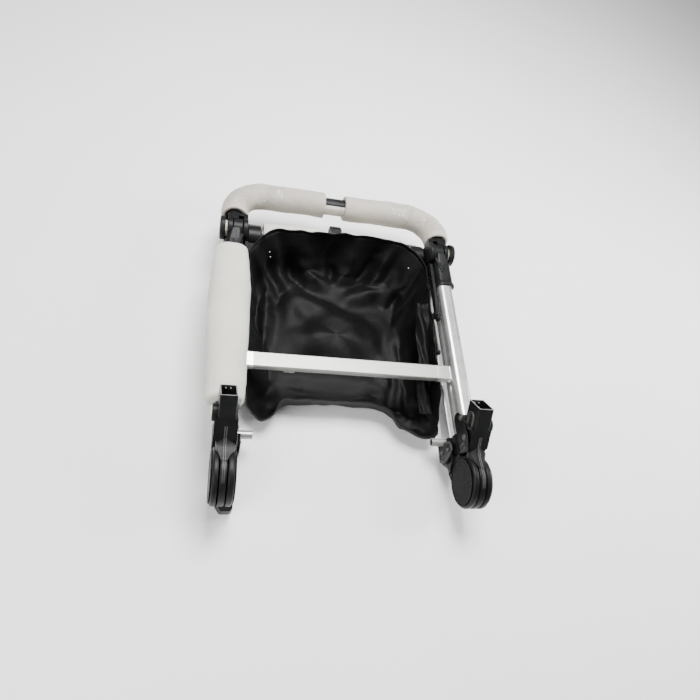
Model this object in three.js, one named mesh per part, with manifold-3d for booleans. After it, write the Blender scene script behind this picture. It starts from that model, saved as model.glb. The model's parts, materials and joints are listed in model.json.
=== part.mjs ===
// The chassis of a pet stroller, folded flat, with foam packing sleeves on its handle, left side tube and rear axle.
// Millimetres, +Z up. X runs across the stroller and Y from the fold hubs to the push handle. The sketch origin is
// midway between the two fold hubs, on their common axis, and the finished group is moved so that the middle of its
// base is at the origin. Every sided piece is drawn for +X, which is the right-hand side, and mirrored for the left.
import * as THREE from 'three';
import { mergeVertices } from 'three/addons/utils/BufferGeometryUtils.js';
import Module from 'manifold-3d';

const wasm = await Module();
wasm.setup();

// Driving dimensions.
const GAP = 0.3; // between pieces that touch
const SIDE_X = 235; // middle plane of each side of the frame
const SPIGOT_RADIUS = 8.3;
const FLOOR_Z = -92; // the surface that the folded chassis lies on
const HUB_RADIUS = 50;
const INNER_LEAF = [215.5, 227]; // fold hub leaves, across X
const CENTRE_LEAF = [229, 241];
const OUTER_LEAF = [243, 253.5];
const CAP_THICKNESS = 2.2;
const CAP_RADIUS = 46;
const AXLE_RADIUS = 6;
const TUBE_WIDTH = 34; // oval side tubes and rear legs
const TUBE_HEIGHT = 22;
const TUBE_WALL = 1.6;
const TUBE_Z = 22;
const REAR_LEG_Z = -6;
const FRONT_LEG_X = 228;
const FRONT_LEG_Z = -52;
const FRONT_LEG_WIDTH = 18;
const FRONT_LEG_HEIGHT = 40;
const FRONT_LEG_END = 574;
const SOCKET_TILT = -THREE.MathUtils.degToRad(42.2); // carrier socket, from upright towards the handle
const SOCKET_WIDTH = 30;
const SOCKET_NEAR = 4.1; // socket walls, across the tilted axis
const SOCKET_FAR = 52.6;
const SOCKET_TOP = 148.8; // along the tilted axis, from the hub axis
const SOCKET_DEPTH = 62;
const SOCKET_WALL = 2.6;
const COLLAR_END = 125; // where the side tube leaves its fold hub
const JOINT_Y = 533; // pivot of the push handle
const JOINT_Z = 25;
const JOINT_RADIUS = 24;
const HANDLE_SLOPE = -THREE.MathUtils.degToRad(9.3);
const HANDLE_REACH = 123.6; // pivot to the middle of the straight bar
const HANDLE_BEND = 70;
const HANDLE_GAP = [-31.5, 17]; // the stretch of grip that the foam leaves bare
const GRIP_RADIUS = 19;
const HANDLE_TUBE_RADIUS = 12.5;
const HANDLE_FOAM_RADIUS = 29.5;
const CROSSBAR_Y = [208, 240];
const CROSSBAR_Z = [7, 22];
const CROSSBAR_END = 196;
const REAR_AXLE_Y = 580;
const REAR_AXLE_Z = -40;
const REAR_AXLE_RADIUS = 14;
const AXLE_FOAM_RADIUS = 30;
const AXLE_FOAM_END = 167;
const HOUSING_X = [172, 204];
const BASKET_WALL = 4;

const aluminium = new THREE.MeshStandardMaterial({ color: 0xc9cac6, roughness: 0.35, metalness: 0.9 });
const steel = new THREE.MeshStandardMaterial({ color: 0xb9bab8, roughness: 0.25, metalness: 1 });
const blackPlastic = new THREE.MeshStandardMaterial({ color: 0x202122, roughness: 0.45, metalness: 0 });
const gripBlack = new THREE.MeshStandardMaterial({ color: 0x18191a, roughness: 0.3, metalness: 0 });
const creamPlastic = new THREE.MeshStandardMaterial({ color: 0xd9d3be, roughness: 0.5, metalness: 0 });
const whiteFoam = new THREE.MeshStandardMaterial({ color: 0xe4e3de, roughness: 0.9, metalness: 0 });
const blackNylon = new THREE.MeshStandardMaterial({ color: 0x1b1b1d, roughness: 0.75, metalness: 0 });

// Solids and geometry.
function toSolid(geometry) {
  geometry.deleteAttribute('normal');
  geometry.deleteAttribute('uv');
  const merged = mergeVertices(geometry, 1e-3);
  const triVerts = new Uint32Array(merged.index.array);
  return new wasm.Manifold(
    new wasm.Mesh({ numProp: 3, vertProperties: merged.attributes.position.array, triVerts }),
  );
}

function toGeometry(solid) {
  const mesh = solid.getMesh();
  const geometry = new THREE.BufferGeometry();
  geometry.setAttribute('position', new THREE.BufferAttribute(mesh.vertProperties, 3));
  geometry.setIndex(new THREE.BufferAttribute(mesh.triVerts, 1));
  geometry.computeVertexNormals();
  return geometry;
}

function join(first, ...others) {
  return others.reduce((whole, solid) => whole.add(solid), first);
}

function cut(solid, ...tools) {
  return tools.reduce((whole, tool) => whole.subtract(tool), solid);
}

// Outlines.
function polygon(...points) {
  return new THREE.Shape(points.map(([a, b]) => new THREE.Vector2(a, b)));
}

// Points along an arc, both ends included.
function arc(a, b, radius, from, to, steps) {
  const points = [];
  for (let i = 0; i <= steps; i++) {
    const turn = from + ((to - from) * i) / steps;
    points.push([a + radius * Math.cos(turn), b + radius * Math.sin(turn)]);
  }
  return points;
}

function circle(a, b, radius) {
  const steps = radius > 25 ? 28 : radius > 8 ? 18 : 10;
  return polygon(...arc(a, b, radius, 0, 2 * Math.PI, steps).slice(1));
}

function roundedBox(a, b, width, height, radius) {
  const [w, h] = [width / 2 - radius, height / 2 - radius];
  const steps = radius > 6 ? 5 : 2;
  const quarter = Math.PI / 2;
  return polygon(
    ...arc(a + w, b + h, radius, 0, quarter, steps),
    ...arc(a - w, b + h, radius, quarter, 2 * quarter, steps),
    ...arc(a - w, b - h, radius, 2 * quarter, 3 * quarter, steps),
    ...arc(a + w, b - h, radius, 3 * quarter, 4 * quarter, steps),
  );
}

// The oval section of the side tubes and rear legs, larger all round by the margin.
function oval(z, margin = 0) {
  const height = TUBE_HEIGHT + 2 * margin;
  return roundedBox(SIDE_X, z, TUBE_WIDTH + 2 * margin, height, height / 2 - 0.01);
}

// An outline pushed along one axis. It is drawn in (y, z) for x, in (x, z) for y and in (x, y) for z.
const [AXIS_X, AXIS_Y, AXIS_Z] = [0, 1, 2].map((i) => new THREE.Vector3().setComponent(i, 1));
const BASES = {
  x: new THREE.Matrix4().makeBasis(AXIS_Y, AXIS_Z, AXIS_X),
  y: new THREE.Matrix4().makeBasis(AXIS_X, AXIS_Z, AXIS_Y.clone().negate()),
  z: new THREE.Matrix4(),
};

function extrude(shape, axis, [low, high], bevel = 0) {
  const geometry = new THREE.ExtrudeGeometry(shape, {
    depth: high - low - 2 * bevel,
    bevelEnabled: bevel > 0,
    bevelThickness: bevel,
    bevelSize: bevel,
    bevelOffset: -bevel,
    bevelSegments: 1,
  });
  geometry.translate(0, 0, (axis === 'y' ? -high : low) + bevel);
  return toSolid(geometry.applyMatrix4(BASES[axis]));
}

function block([x0, x1], [y0, y1], [z0, z1]) {
  const geometry = new THREE.BoxGeometry(x1 - x0, y1 - y0, z1 - z0);
  return toSolid(geometry.translate((x0 + x1) / 2, (y0 + y1) / 2, (z0 + z1) / 2));
}

function rod(radius, across, y, z, bevel = 0) {
  return extrude(circle(y, z, radius), 'x', across, bevel);
}

// A ring pushed along a curve.
function sweep(curve, radius, bore, steps) {
  const shape = circle(0, 0, radius);
  shape.holes.push(circle(0, 0, bore));
  return toSolid(new THREE.ExtrudeGeometry(shape, { extrudePath: curve, steps }));
}

// A closed skin through rings of points, with a fan over the first and the last ring.
function loft(rings) {
  const count = rings[0].length;
  const points = rings.flat();
  const faces = [];
  for (let r = 0; r + 1 < rings.length; r++) {
    for (let i = 0; i < count; i++) {
      const next = (i + 1) % count;
      const [a, b] = [r * count + i, r * count + next];
      faces.push(a, b, b + count, a, b + count, a + count);
    }
  }
  const last = (rings.length - 1) * count;
  for (let i = 1; i + 1 < count; i++) {
    faces.push(0, i + 1, i);
    faces.push(last, last + i, last + i + 1);
  }
  const geometry = new THREE.BufferGeometry().setFromPoints(points);
  geometry.setIndex(faces);
  return toSolid(geometry);
}

// Placing.
function place(parent, name, solid, material, side = 1) {
  const mesh = new THREE.Mesh(toGeometry(solid), material);
  mesh.name = name;
  mesh.scale.x = side;
  parent.add(mesh);
}

function placePair(parent, name, solid, material) {
  place(parent, `${name}_left`, solid, material, -1);
  place(parent, `${name}_right`, solid, material);
}

function span([low, high], margin) {
  return [low - margin, high + margin];
}

// Front frame: the bottom layer, which lies on the floor.
// The hub's outer casing, which follows the leaves round from below.
function hubCasing(margin) {
  const outline = polygon(
    [60, -80],
    [40, -81],
    [18, -71 - margin],
    [0, -71 - margin],
    [-16 - margin / 2, -63 - margin],
    [-36 - margin, -47 - margin],
    [-46 - margin, -22],
    [0, -10],
    [40, -25],
  );
  return extrude(outline, 'x', [CENTRE_LEAF[0] - 1 - margin, OUTER_LEAF[1] - 2 + margin]);
}

function frontHub() {
  const clampSection = polygon([211, -25], [211, -64], [226, FLOOR_Z], [247, FLOOR_Z], [251, -84], [251, -25]);
  const clampSide = polygon([106, -25], [40, -25], [20, -46], [24, -54], [45, -72], [56, FLOOR_Z], [106, FLOOR_Z]);
  const clamp = extrude(clampSection, 'y', [15, 106]).intersect(extrude(clampSide, 'x', [205, 260]));
  const leafClearance = rod(HUB_RADIUS + 1.8, [200, OUTER_LEAF[0]], 0, 0);
  const leaf = rod(HUB_RADIUS, OUTER_LEAF, 0, 0, 1.2);
  const legPocket = extrude(frontLegSection(GAP), 'y', [60 - GAP, 110]);
  const axleHole = rod(AXLE_RADIUS + 0.5, [240, 260], 0, 0);
  return cut(join(cut(join(clamp, hubCasing(0)), leafClearance), leaf), legPocket, axleHole);
}

// The chamfered block that only the left hub stands on.
function hubFoot() {
  const side = polygon([-44.5, -57], [-44.5, -79], [-35, FLOOR_Z], [-4, FLOOR_Z], [-4, -50], [-30, -38]);
  const section = polygon([211, -30], [210, -80], [213, FLOOR_Z], [226, FLOOR_Z], [236, -79], [246, -60], [246, -30]);
  const blank = extrude(side, 'x', [205, 260]).intersect(extrude(section, 'y', [-60, 0]));
  return cut(blank, rod(HUB_RADIUS + 1.8, [200, 260], 0, 0), hubCasing(0.5));
}

function frontLegSection(margin) {
  const [width, height] = [FRONT_LEG_WIDTH + 2 * margin, FRONT_LEG_HEIGHT + 2 * margin];
  return roundedBox(FRONT_LEG_X, FRONT_LEG_Z, width, height, 3);
}

function frontLeg() {
  const hollow = roundedBox(
    FRONT_LEG_X,
    FRONT_LEG_Z,
    FRONT_LEG_WIDTH - 2 * TUBE_WALL,
    FRONT_LEG_HEIGHT - 2 * TUBE_WALL,
    1.5,
  );
  const section = frontLegSection(0);
  section.holes.push(hollow);
  return extrude(section, 'y', [60, FRONT_LEG_END]);
}

function casterSocket() {
  const body = extrude(roundedBox(FRONT_LEG_X, -60.5, 32, 63, 6), 'y', [548, 594]);
  const legPocket = extrude(frontLegSection(GAP), 'y', [540, FRONT_LEG_END + GAP]);
  const stemHole = extrude(circle(FRONT_LEG_X, -60, 8), 'y', [578, 600]);
  return cut(body, legPocket, stemHole);
}

function tubeBetween(radius, [low, high], y, z) {
  return cut(rod(radius, [low, high], y, z), rod(radius - TUBE_WALL, span([low, high], 1), y, z));
}

function buildFrontFrame(frame) {
  placePair(frame, 'front_hub', frontHub(), blackPlastic);
  place(frame, 'hub_foot_left', hubFoot(), blackPlastic, -1);
  placePair(frame, 'front_leg', frontLeg(), aluminium);
  placePair(frame, 'caster_socket', casterSocket(), blackPlastic);
  placePair(frame, 'spigot', tubeBetween(SPIGOT_RADIUS, [180, 211 - GAP], 94, -40), aluminium);
  placePair(frame, 'hub_axle', rod(AXLE_RADIUS, [INNER_LEAF[0] + GAP, OUTER_LEAF[1] - GAP], 0, 0), steel);
  const capStart = OUTER_LEAF[1] + GAP;
  placePair(frame, 'hub_cap_outer', rod(CAP_RADIUS, [capStart, capStart + CAP_THICKNESS], 0, 0, 0.8), blackPlastic);
  place(frame, 'front_cross_tube', tubeBetween(9, [-211.7, 211.7], 562, -82), aluminium);
}

// Rear frame: the middle layer.
function rearHub() {
  const leaf = rod(HUB_RADIUS, INNER_LEAF, 0, 0, 1.2);
  const arm = block(INNER_LEAF, [30, 60], [-19, 7]);
  const clamp = extrude(roundedBox(SIDE_X - 0.5, REAR_LEG_Z, 41, 24.4, 9), 'y', [52.5, 96]);
  const legPocket = extrude(oval(REAR_LEG_Z, GAP), 'y', [60 - GAP, 100]);
  const axleHole = rod(AXLE_RADIUS + 0.5, [210, 230], 0, 0);
  return cut(join(leaf, arm, clamp), legPocket, axleHole);
}

function ovalTube(z, [start, end]) {
  const section = oval(z);
  section.holes.push(oval(z, -TUBE_WALL));
  return extrude(section, 'y', [start, end]);
}

function axleHousing() {
  const clamp = extrude(roundedBox(SIDE_X - 0.5, REAR_LEG_Z, 39, 24.4, 9), 'y', [458, 504]);
  const bridge = block([190, 254], [500, 556], [-28, -3]);
  const cover = rod(27, HOUSING_X, 548, -14, 3);
  const axleBoss = rod(22, HOUSING_X, REAR_AXLE_Y, REAR_AXLE_Z, 2);
  const neck = block(HOUSING_X, [545, 580], [-48, -12]);
  const legPocket = extrude(oval(REAR_LEG_Z, GAP), 'y', [450, 500 + GAP]);
  const axlePocket = rod(REAR_AXLE_RADIUS + GAP, [160, 190 + GAP], REAR_AXLE_Y, REAR_AXLE_Z);
  const wheelBore = rod(7, [228, 260], 522, -17);
  const pinBore = rod(4.5, [206, 260], 544, -17);
  return cut(join(clamp, bridge, cover, axleBoss, neck), legPocket, axlePocket, wheelBore, pinBore);
}

function axleFoam() {
  const ends = [-AXLE_FOAM_END, AXLE_FOAM_END];
  const sleeve = rod(AXLE_FOAM_RADIUS, ends, REAR_AXLE_Y, REAR_AXLE_Z, 2);
  const bore = rod(REAR_AXLE_RADIUS + GAP, span(ends, 1), REAR_AXLE_Y, REAR_AXLE_Z);
  const pedalNotch = block([-20, 20], [540, 620], [-61, 0]);
  return cut(sleeve, bore, pedalNotch);
}

function brakePedal() {
  const across = [-15, 15];
  const ring = rod(REAR_AXLE_RADIUS + 5, across, REAR_AXLE_Y, REAR_AXLE_Z, 1);
  const paddle = extrude(
    polygon([578, -26], [588, -16], [606, -14], [622, -24], [624, -33], [612, -31], [592, -36]),
    'x',
    across,
  );
  const bore = rod(REAR_AXLE_RADIUS + 0.5, span(across, 1), REAR_AXLE_Y, REAR_AXLE_Z);
  return cut(join(ring, paddle), bore);
}

// One ring of the basket: a rounded rectangle whose corners follow a superellipse.
function basketRing(halfWidth, [near, far], height) {
  const [middle, halfLength] = [(near + far) / 2, (far - near) / 2];
  const squareness = 2 / 4.6;
  const ring = [];
  for (let i = 0; i < 32; i++) {
    const turn = (i / 32) * 2 * Math.PI;
    const [c, s] = [Math.cos(turn), Math.sin(turn)];
    const x = halfWidth * Math.sign(c) * Math.abs(c) ** squareness;
    const y = middle + halfLength * Math.sign(s) * Math.abs(s) ** squareness;
    ring.push(new THREE.Vector3(x, y, height(y)));
  }
  return ring;
}

// The hem dips under the crossbar and rises towards the handle.
function hemHeight(y) {
  return -30 + 33 * THREE.MathUtils.smoothstep(y, 164, 207) + 15 * THREE.MathUtils.smoothstep(y, 246, 330);
}

function basket() {
  const wall = BASKET_WALL;
  const baseHeight = () => -66;
  const middleHeight = (y) => -34 + 0.5 * hemHeight(y);
  return loft([
    basketRing(165, [172, 522], baseHeight),
    basketRing(188, [167, 540], middleHeight),
    basketRing(198, [164, 552], hemHeight),
    basketRing(198 - wall, [164 + wall, 552 - wall], hemHeight),
    basketRing(188 - wall, [167 + wall, 540 - wall], middleHeight),
    basketRing(165 - wall, [172 + wall, 522 - wall], (y) => baseHeight(y) + wall),
  ]);
}

function buildRearFrame(frame) {
  placePair(frame, 'rear_hub', rearHub(), blackPlastic);
  const capEnd = INNER_LEAF[0] - GAP;
  placePair(frame, 'hub_cap_inner', rod(CAP_RADIUS, [capEnd - CAP_THICKNESS, capEnd], 0, 0, 0.8), blackPlastic);
  placePair(frame, 'rear_leg', ovalTube(REAR_LEG_Z, [60, 500]), aluminium);
  placePair(frame, 'axle_housing', axleHousing(), blackPlastic);
  placePair(frame, 'brake_pin', rod(4, [207, 253.5], 544, -17), steel);
  place(frame, 'rear_axle_tube', tubeBetween(REAR_AXLE_RADIUS, [-190, 190], REAR_AXLE_Y, REAR_AXLE_Z), steel);
  place(frame, 'rear_axle_foam', axleFoam(), whiteFoam);
  place(frame, 'brake_pedal', brakePedal(), blackPlastic);
  place(frame, 'basket', basket(), blackNylon);
}

// Upper frame: the top layer, with the carrier sockets and the side tubes.
function tilted(solidGeometry) {
  return toSolid(solidGeometry.applyMatrix4(new THREE.Matrix4().makeRotationX(SOCKET_TILT)));
}

function tiltedBox([x0, x1], [y0, y1], [z0, z1]) {
  const geometry = new THREE.BoxGeometry(x1 - x0, y1 - y0, z1 - z0);
  return tilted(geometry.translate((x0 + x1) / 2, (y0 + y1) / 2, (z0 + z1) / 2));
}

function upperHub() {
  const socketAcross = [SIDE_X - SOCKET_WIDTH / 2, SIDE_X + SOCKET_WIDTH / 2];
  const sleeve = tiltedBox(socketAcross, [SOCKET_NEAR, SOCKET_FAR], [60, SOCKET_TOP]);
  const crown = extrude(
    polygon([30, 27], [73.6, 75], [107.7, 44.1], [112, 36.5], [COLLAR_END, 36.5], [COLLAR_END, 8], [45, 8]),
    'x',
    [216, 254],
  );
  const clearance = [[215, CENTRE_LEAF[0]], [CENTRE_LEAF[1], 255]];
  const leafClearance = clearance.map((across) => rod(HUB_RADIUS + 1.8, across, 0, 0));
  const leaf = rod(HUB_RADIUS, CENTRE_LEAF, 0, 0, 1);
  const mouth = tiltedBox(
    span(socketAcross, -SOCKET_WALL),
    [SOCKET_NEAR + SOCKET_WALL, SOCKET_FAR - SOCKET_WALL],
    [SOCKET_TOP - SOCKET_DEPTH, SOCKET_TOP + 5],
  );
  const tubePocket = extrude(oval(TUBE_Z, GAP), 'y', [70 - GAP, 130]);
  const axleHole = rod(AXLE_RADIUS + 0.5, [225, 245], 0, 0);
  const buttonHole = tilted(
    new THREE.CylinderGeometry(12.6, 12.6, 20, 20).rotateZ(Math.PI / 2).translate(254, 27, 108),
  );
  const body = join(cut(join(sleeve, crown), ...leafClearance), leaf);
  return cut(body, mouth, tubePocket, axleHole, buttonHole);
}

function socketButton() {
  const body = new THREE.CylinderGeometry(12, 12, 15, 20).rotateZ(Math.PI / 2).translate(255.1, 27, 108);
  return tilted(body);
}

function crossbar() {
  const middle = (range) => (range[0] + range[1]) / 2;
  const size = (range) => range[1] - range[0];
  const section = roundedBox(middle(CROSSBAR_Y), middle(CROSSBAR_Z), size(CROSSBAR_Y), size(CROSSBAR_Z), 2.5);
  const bore = roundedBox(
    middle(CROSSBAR_Y),
    middle(CROSSBAR_Z),
    size(CROSSBAR_Y) - 2 * TUBE_WALL,
    size(CROSSBAR_Z) - 2 * TUBE_WALL,
    1.2,
  );
  section.holes.push(bore);
  return extrude(section, 'x', [-CROSSBAR_END, CROSSBAR_END]);
}

function crossbarEnd() {
  const size = CROSSBAR_Y[1] - CROSSBAR_Y[0] + 1.6;
  return extrude(
    roundedBox((CROSSBAR_Y[0] + CROSSBAR_Y[1]) / 2, 14.3, size, 15.6, 3),
    'x',
    [CROSSBAR_END + GAP, SIDE_X - TUBE_WIDTH / 2 - 0.5],
    1,
  );
}

function handleBase() {
  const collar = extrude(roundedBox(SIDE_X, TUBE_Z, 41, 29, 13), 'y', [446, 507]);
  const rim = extrude(roundedBox(SIDE_X, TUBE_Z, 44, 30.5, 14), 'y', [440, 447]);
  const tongueEnd = rod(JOINT_RADIUS - 2, [218, 238], JOINT_Y, JOINT_Z, 1);
  const tongueRoot = extrude(
    polygon([500, 8], [533, 3.2], [533, 46.8], [500, 36]),
    'x',
    [218, 238],
  );
  const tubePocket = extrude(oval(TUBE_Z, GAP), 'y', [430, 490 + GAP]);
  const pinHole = rod(4.5, [210, 240], JOINT_Y, JOINT_Z);
  return cut(join(collar, rim, tongueEnd, tongueRoot), tubePocket, pinHole);
}

// One ring of the side tube's foam: flat under the tube and crowned over it.
function foamRing(y, width, top) {
  const bottom = 6.6;
  const middle = 30;
  const ring = [];
  for (let i = 0; i < 28; i++) {
    const turn = -(i / 28) * 2 * Math.PI;
    const [c, s] = [Math.cos(turn), Math.sin(turn)];
    const reach = s > 0 ? top - middle : middle - bottom;
    const x = SIDE_X + 3 + (width / 2) * Math.sign(c) * Math.abs(c) ** 0.8;
    ring.push(new THREE.Vector3(x, y, middle + reach * Math.sign(s) * Math.abs(s) ** (s > 0 ? 0.85 : 0.5)));
  }
  return ring;
}

function tubeFoam() {
  const stations = [
    [COLLAR_END + 1, 66, 54],
    [COLLAR_END + 5, 71, 57],
    [200, 74, 60],
    [270, 81, 62],
    [360, 82, 62],
    [430, 75, 59],
    [471, 69, 57],
    [475, 64, 54],
  ];
  const skin = loft(stations.map(([y, width, top]) => foamRing(y, width, top)));
  const tubeChannel = extrude(oval(TUBE_Z, 0.5), 'y', [120, 480]);
  const collarChannel = extrude(roundedBox(SIDE_X, TUBE_Z, 45, 31.5, 14), 'y', [439.5, 480]);
  const crossbarNotch = block([190, 220], span(CROSSBAR_Y, 1.4), [0, 22.7]);
  const linkChannel = block([203.8, 222], [330, 480], [0, 30.6]);
  return cut(skin, tubeChannel, collarChannel, crossbarNotch, linkChannel);
}

function releaseLink() {
  const bar = extrude(
    polygon([358, 13], [500, 13], [504, 17], [504, 26], [500, 30], [358, 30]),
    'x',
    [204.5, 211.5],
  );
  const eye = rod(8.5, [204.5, 211.5], 358, 21.5, 1);
  return join(bar, eye);
}

function releaseRod() {
  const shaft = extrude(circle(207, 0, 2.5), 'y', [285, 372]);
  const nearEye = rod(5.5, [203, 211], 283, 0, 1);
  const farEye = extrude(polygon([366, -5], [378, -5], [378, 12.6], [366, 12.6]), 'x', [204, 210.5]);
  return join(shaft, nearEye, farEye);
}

function buildUpperFrame(frame) {
  placePair(frame, 'upper_hub', upperHub(), blackPlastic);
  placePair(frame, 'socket_button', socketButton(), blackPlastic);
  placePair(frame, 'upper_tube', ovalTube(TUBE_Z, [70, 490]), aluminium);
  placePair(frame, 'crossbar_end', crossbarEnd(), steel);
  placePair(frame, 'handle_base', handleBase(), blackPlastic);
  placePair(frame, 'release_link', releaseLink(), blackPlastic);
  placePair(frame, 'release_rod', releaseRod(), steel);
  place(frame, 'crossbar', crossbar(), aluminium);
  const bolt = extrude(circle(-118, 214, 4), 'z', [1.5, CROSSBAR_Z[0] - GAP]);
  place(frame, 'crossbar_bolt', bolt, steel);
  place(frame, 'tube_foam_left', tubeFoam(), whiteFoam, -1);
}

// Push handle, drawn along +Y from its pivot.
function handleHub() {
  const ears = [[207, 217], [239, 249]].map((across) => rod(JOINT_RADIUS, across, 0, 0, 1.5));
  const webs = [[207, 217], [239, 249]].map((across) => block(across, [0, 30], [-19, 19]));
  const bridge = block([207, 249], [24.5, 33], [-19, 19]);
  const stub = extrude(circle(SIDE_X, 0, 18.4), 'y', [32, 46]);
  const pinHole = rod(4.5, [200, 255], 0, 0);
  const tubePocket = extrude(circle(SIDE_X, 0, HANDLE_TUBE_RADIUS + GAP), 'y', [29, 50]);
  return cut(join(...ears, ...webs, bridge, stub), pinHole, tubePocket);
}

function handleButton() {
  const disc = rod(JOINT_RADIUS + 1, [254.3, 265], 0, 0, 2);
  const stem = rod(4, [246, 256], 0, 0);
  return join(disc, stem);
}

function handleRing() {
  return cut(rod(15, [249 + GAP, 251], 0, 0), rod(6, [248, 252], 0, 0));
}

// The bar's centre line on one side: out of the hub, round the bend and along to a place on the straight stretch.
function handleCurves(start, end, side = 1) {
  const point = (x, y) => new THREE.Vector3(side * x, y, 0);
  const bendStart = HANDLE_REACH - HANDLE_BEND;
  const bendEnd = SIDE_X - HANDLE_BEND;
  const corner = 0.45 * HANDLE_BEND;
  return [
    new THREE.LineCurve3(point(SIDE_X, start), point(SIDE_X, bendStart)),
    new THREE.CubicBezierCurve3(
      point(SIDE_X, bendStart),
      point(SIDE_X, HANDLE_REACH - corner),
      point(SIDE_X - corner, HANDLE_REACH),
      point(bendEnd, HANDLE_REACH),
    ),
    new THREE.LineCurve3(point(bendEnd, HANDLE_REACH), point(end, HANDLE_REACH)),
  ];
}

function backwards(curve) {
  if (curve.isLineCurve3) return new THREE.LineCurve3(curve.v2, curve.v1);
  return new THREE.CubicBezierCurve3(curve.v3, curve.v2, curve.v1, curve.v0);
}

function route(curves) {
  const path = new THREE.CurvePath();
  curves.forEach((curve) => path.add(curve));
  return path;
}

function wholeBar() {
  const there = handleCurves(30, 0);
  const back = handleCurves(30, 0, -1).reverse().map(backwards);
  return sweep(route([...there, ...back]), HANDLE_TUBE_RADIUS, HANDLE_TUBE_RADIUS - TUBE_WALL, 28);
}

function buildHandle(frame) {
  const handle = new THREE.Group();
  handle.position.set(0, JOINT_Y, JOINT_Z);
  handle.rotation.x = HANDLE_SLOPE;
  placePair(handle, 'handle_hub', handleHub(), blackPlastic);
  placePair(handle, 'handle_ring', handleRing(), creamPlastic);
  placePair(handle, 'handle_button', handleButton(), blackPlastic);
  placePair(handle, 'handle_pin', rod(4, [208, 241.5], 0, 0), steel);
  place(handle, 'handlebar_tube', wholeBar(), aluminium);
  const gripEnds = [-150, 150];
  const grip = cut(
    rod(GRIP_RADIUS, gripEnds, HANDLE_REACH, 0, 1),
    rod(HANDLE_TUBE_RADIUS + GAP, span(gripEnds, 1), HANDLE_REACH, 0),
  );
  place(handle, 'handle_grip', grip, gripBlack);
  const foamStart = 38;
  const foamBore = GRIP_RADIUS + 0.6;
  const rightFoam = sweep(route(handleCurves(foamStart, HANDLE_GAP[1])), HANDLE_FOAM_RADIUS, foamBore, 13);
  const leftFoam = sweep(route(handleCurves(foamStart, -HANDLE_GAP[0])), HANDLE_FOAM_RADIUS, foamBore, 13);
  place(handle, 'handle_foam_right', rightFoam, whiteFoam);
  place(handle, 'handle_foam_left', leftFoam, whiteFoam, -1);
  frame.add(handle);
}

const stroller = new THREE.Group();
buildFrontFrame(stroller);
buildRearFrame(stroller);
buildUpperFrame(stroller);
buildHandle(stroller);

// The middle of the base goes to the origin.
const extent = new THREE.Box3().setFromObject(stroller, true);
const middle = extent.getCenter(new THREE.Vector3());
stroller.position.set(-middle.x, -middle.y, -extent.min.z);

export default stroller;
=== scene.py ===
import json
import math

import bmesh
import bpy
from mathutils import Matrix, Vector, noise


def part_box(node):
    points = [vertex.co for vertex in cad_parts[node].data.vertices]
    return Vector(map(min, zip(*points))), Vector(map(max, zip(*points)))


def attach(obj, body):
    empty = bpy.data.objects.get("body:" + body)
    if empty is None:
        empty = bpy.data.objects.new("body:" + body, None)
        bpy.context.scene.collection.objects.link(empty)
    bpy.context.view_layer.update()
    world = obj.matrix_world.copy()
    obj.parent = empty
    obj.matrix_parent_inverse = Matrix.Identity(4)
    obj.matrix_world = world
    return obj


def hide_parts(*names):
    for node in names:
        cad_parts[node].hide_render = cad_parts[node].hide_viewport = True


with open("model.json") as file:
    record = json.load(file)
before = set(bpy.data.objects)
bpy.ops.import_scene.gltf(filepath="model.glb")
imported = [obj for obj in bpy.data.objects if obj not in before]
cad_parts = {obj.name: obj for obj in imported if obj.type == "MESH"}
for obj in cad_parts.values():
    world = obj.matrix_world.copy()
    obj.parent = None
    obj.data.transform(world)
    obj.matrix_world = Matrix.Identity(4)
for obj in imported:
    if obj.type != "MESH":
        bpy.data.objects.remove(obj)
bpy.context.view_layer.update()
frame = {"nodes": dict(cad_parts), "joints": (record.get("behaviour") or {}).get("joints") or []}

# The stroller chassis in its sketch units: millimetres from the middle of the fold hubs' axis,
# X across, Y towards the push handle, Z up. Every sided piece is drawn for +X and mirrored for the left.
MM = 0.001
SIDES = {"left": -1, "right": 1}
JOINTS = {joint["name"]: joint for joint in frame["joints"]}
HUB_AXIS = Vector(JOINTS["frame_unfold"]["pos_m"])
HANDLE_AXIS = Vector(JOINTS["handle_angle"]["pos_m"])
axle_left, axle_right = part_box("hub_axle_left"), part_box("hub_axle_right")
ORIGIN = Vector(((axle_left[0].x + axle_right[1].x) / 2, HUB_AXIS.y, HUB_AXIS.z))
TO_ROW = Matrix.Translation(ORIGIN) @ Matrix.Scale(MM, 4)


def sketch_box(node):
    """A CAD node's lowest and highest corners in sketch millimetres."""
    low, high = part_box(node)
    return (low - ORIGIN) / MM, (high - ORIGIN) / MM


def across(node):
    """A CAD node's lowest and highest x."""
    low, high = sketch_box(node)
    return low.x, high.x


# Driving dimensions, read from the frame.
LEAF_RADIUS = -sketch_box("upper_hub_right")[0].z
OUTER_CAP = across("hub_cap_outer_right")
INNER_CAP = across("hub_cap_inner_right")
CAP_RADIUS = sketch_box("hub_cap_outer_right")[1].z
TUBE_LOW, TUBE_HIGH = sketch_box("upper_tube_right")
SIDE_X = (TUBE_LOW.x + TUBE_HIGH.x) / 2
TUBE_Z = (TUBE_LOW.z + TUBE_HIGH.z) / 2
TUBE_WIDTH = TUBE_HIGH.x - TUBE_LOW.x
TUBE_HEIGHT = TUBE_HIGH.z - TUBE_LOW.z
REAR_LOW, REAR_HIGH = sketch_box("rear_leg_right")
REAR_LEG_Z = (REAR_LOW.z + REAR_HIGH.z) / 2
LEG_LOW, LEG_HIGH = sketch_box("front_leg_right")
FLOOR_Z = -ORIGIN.z / MM
FRONT_LEG = ((LEG_LOW.x + LEG_HIGH.x) / 2, (LEG_LOW.z + LEG_HIGH.z) / 2)
LEG_SIZE = (LEG_HIGH.x - LEG_LOW.x, LEG_HIGH.z - LEG_LOW.z)
JOINT = (HANDLE_AXIS - ORIGIN) / MM
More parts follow.
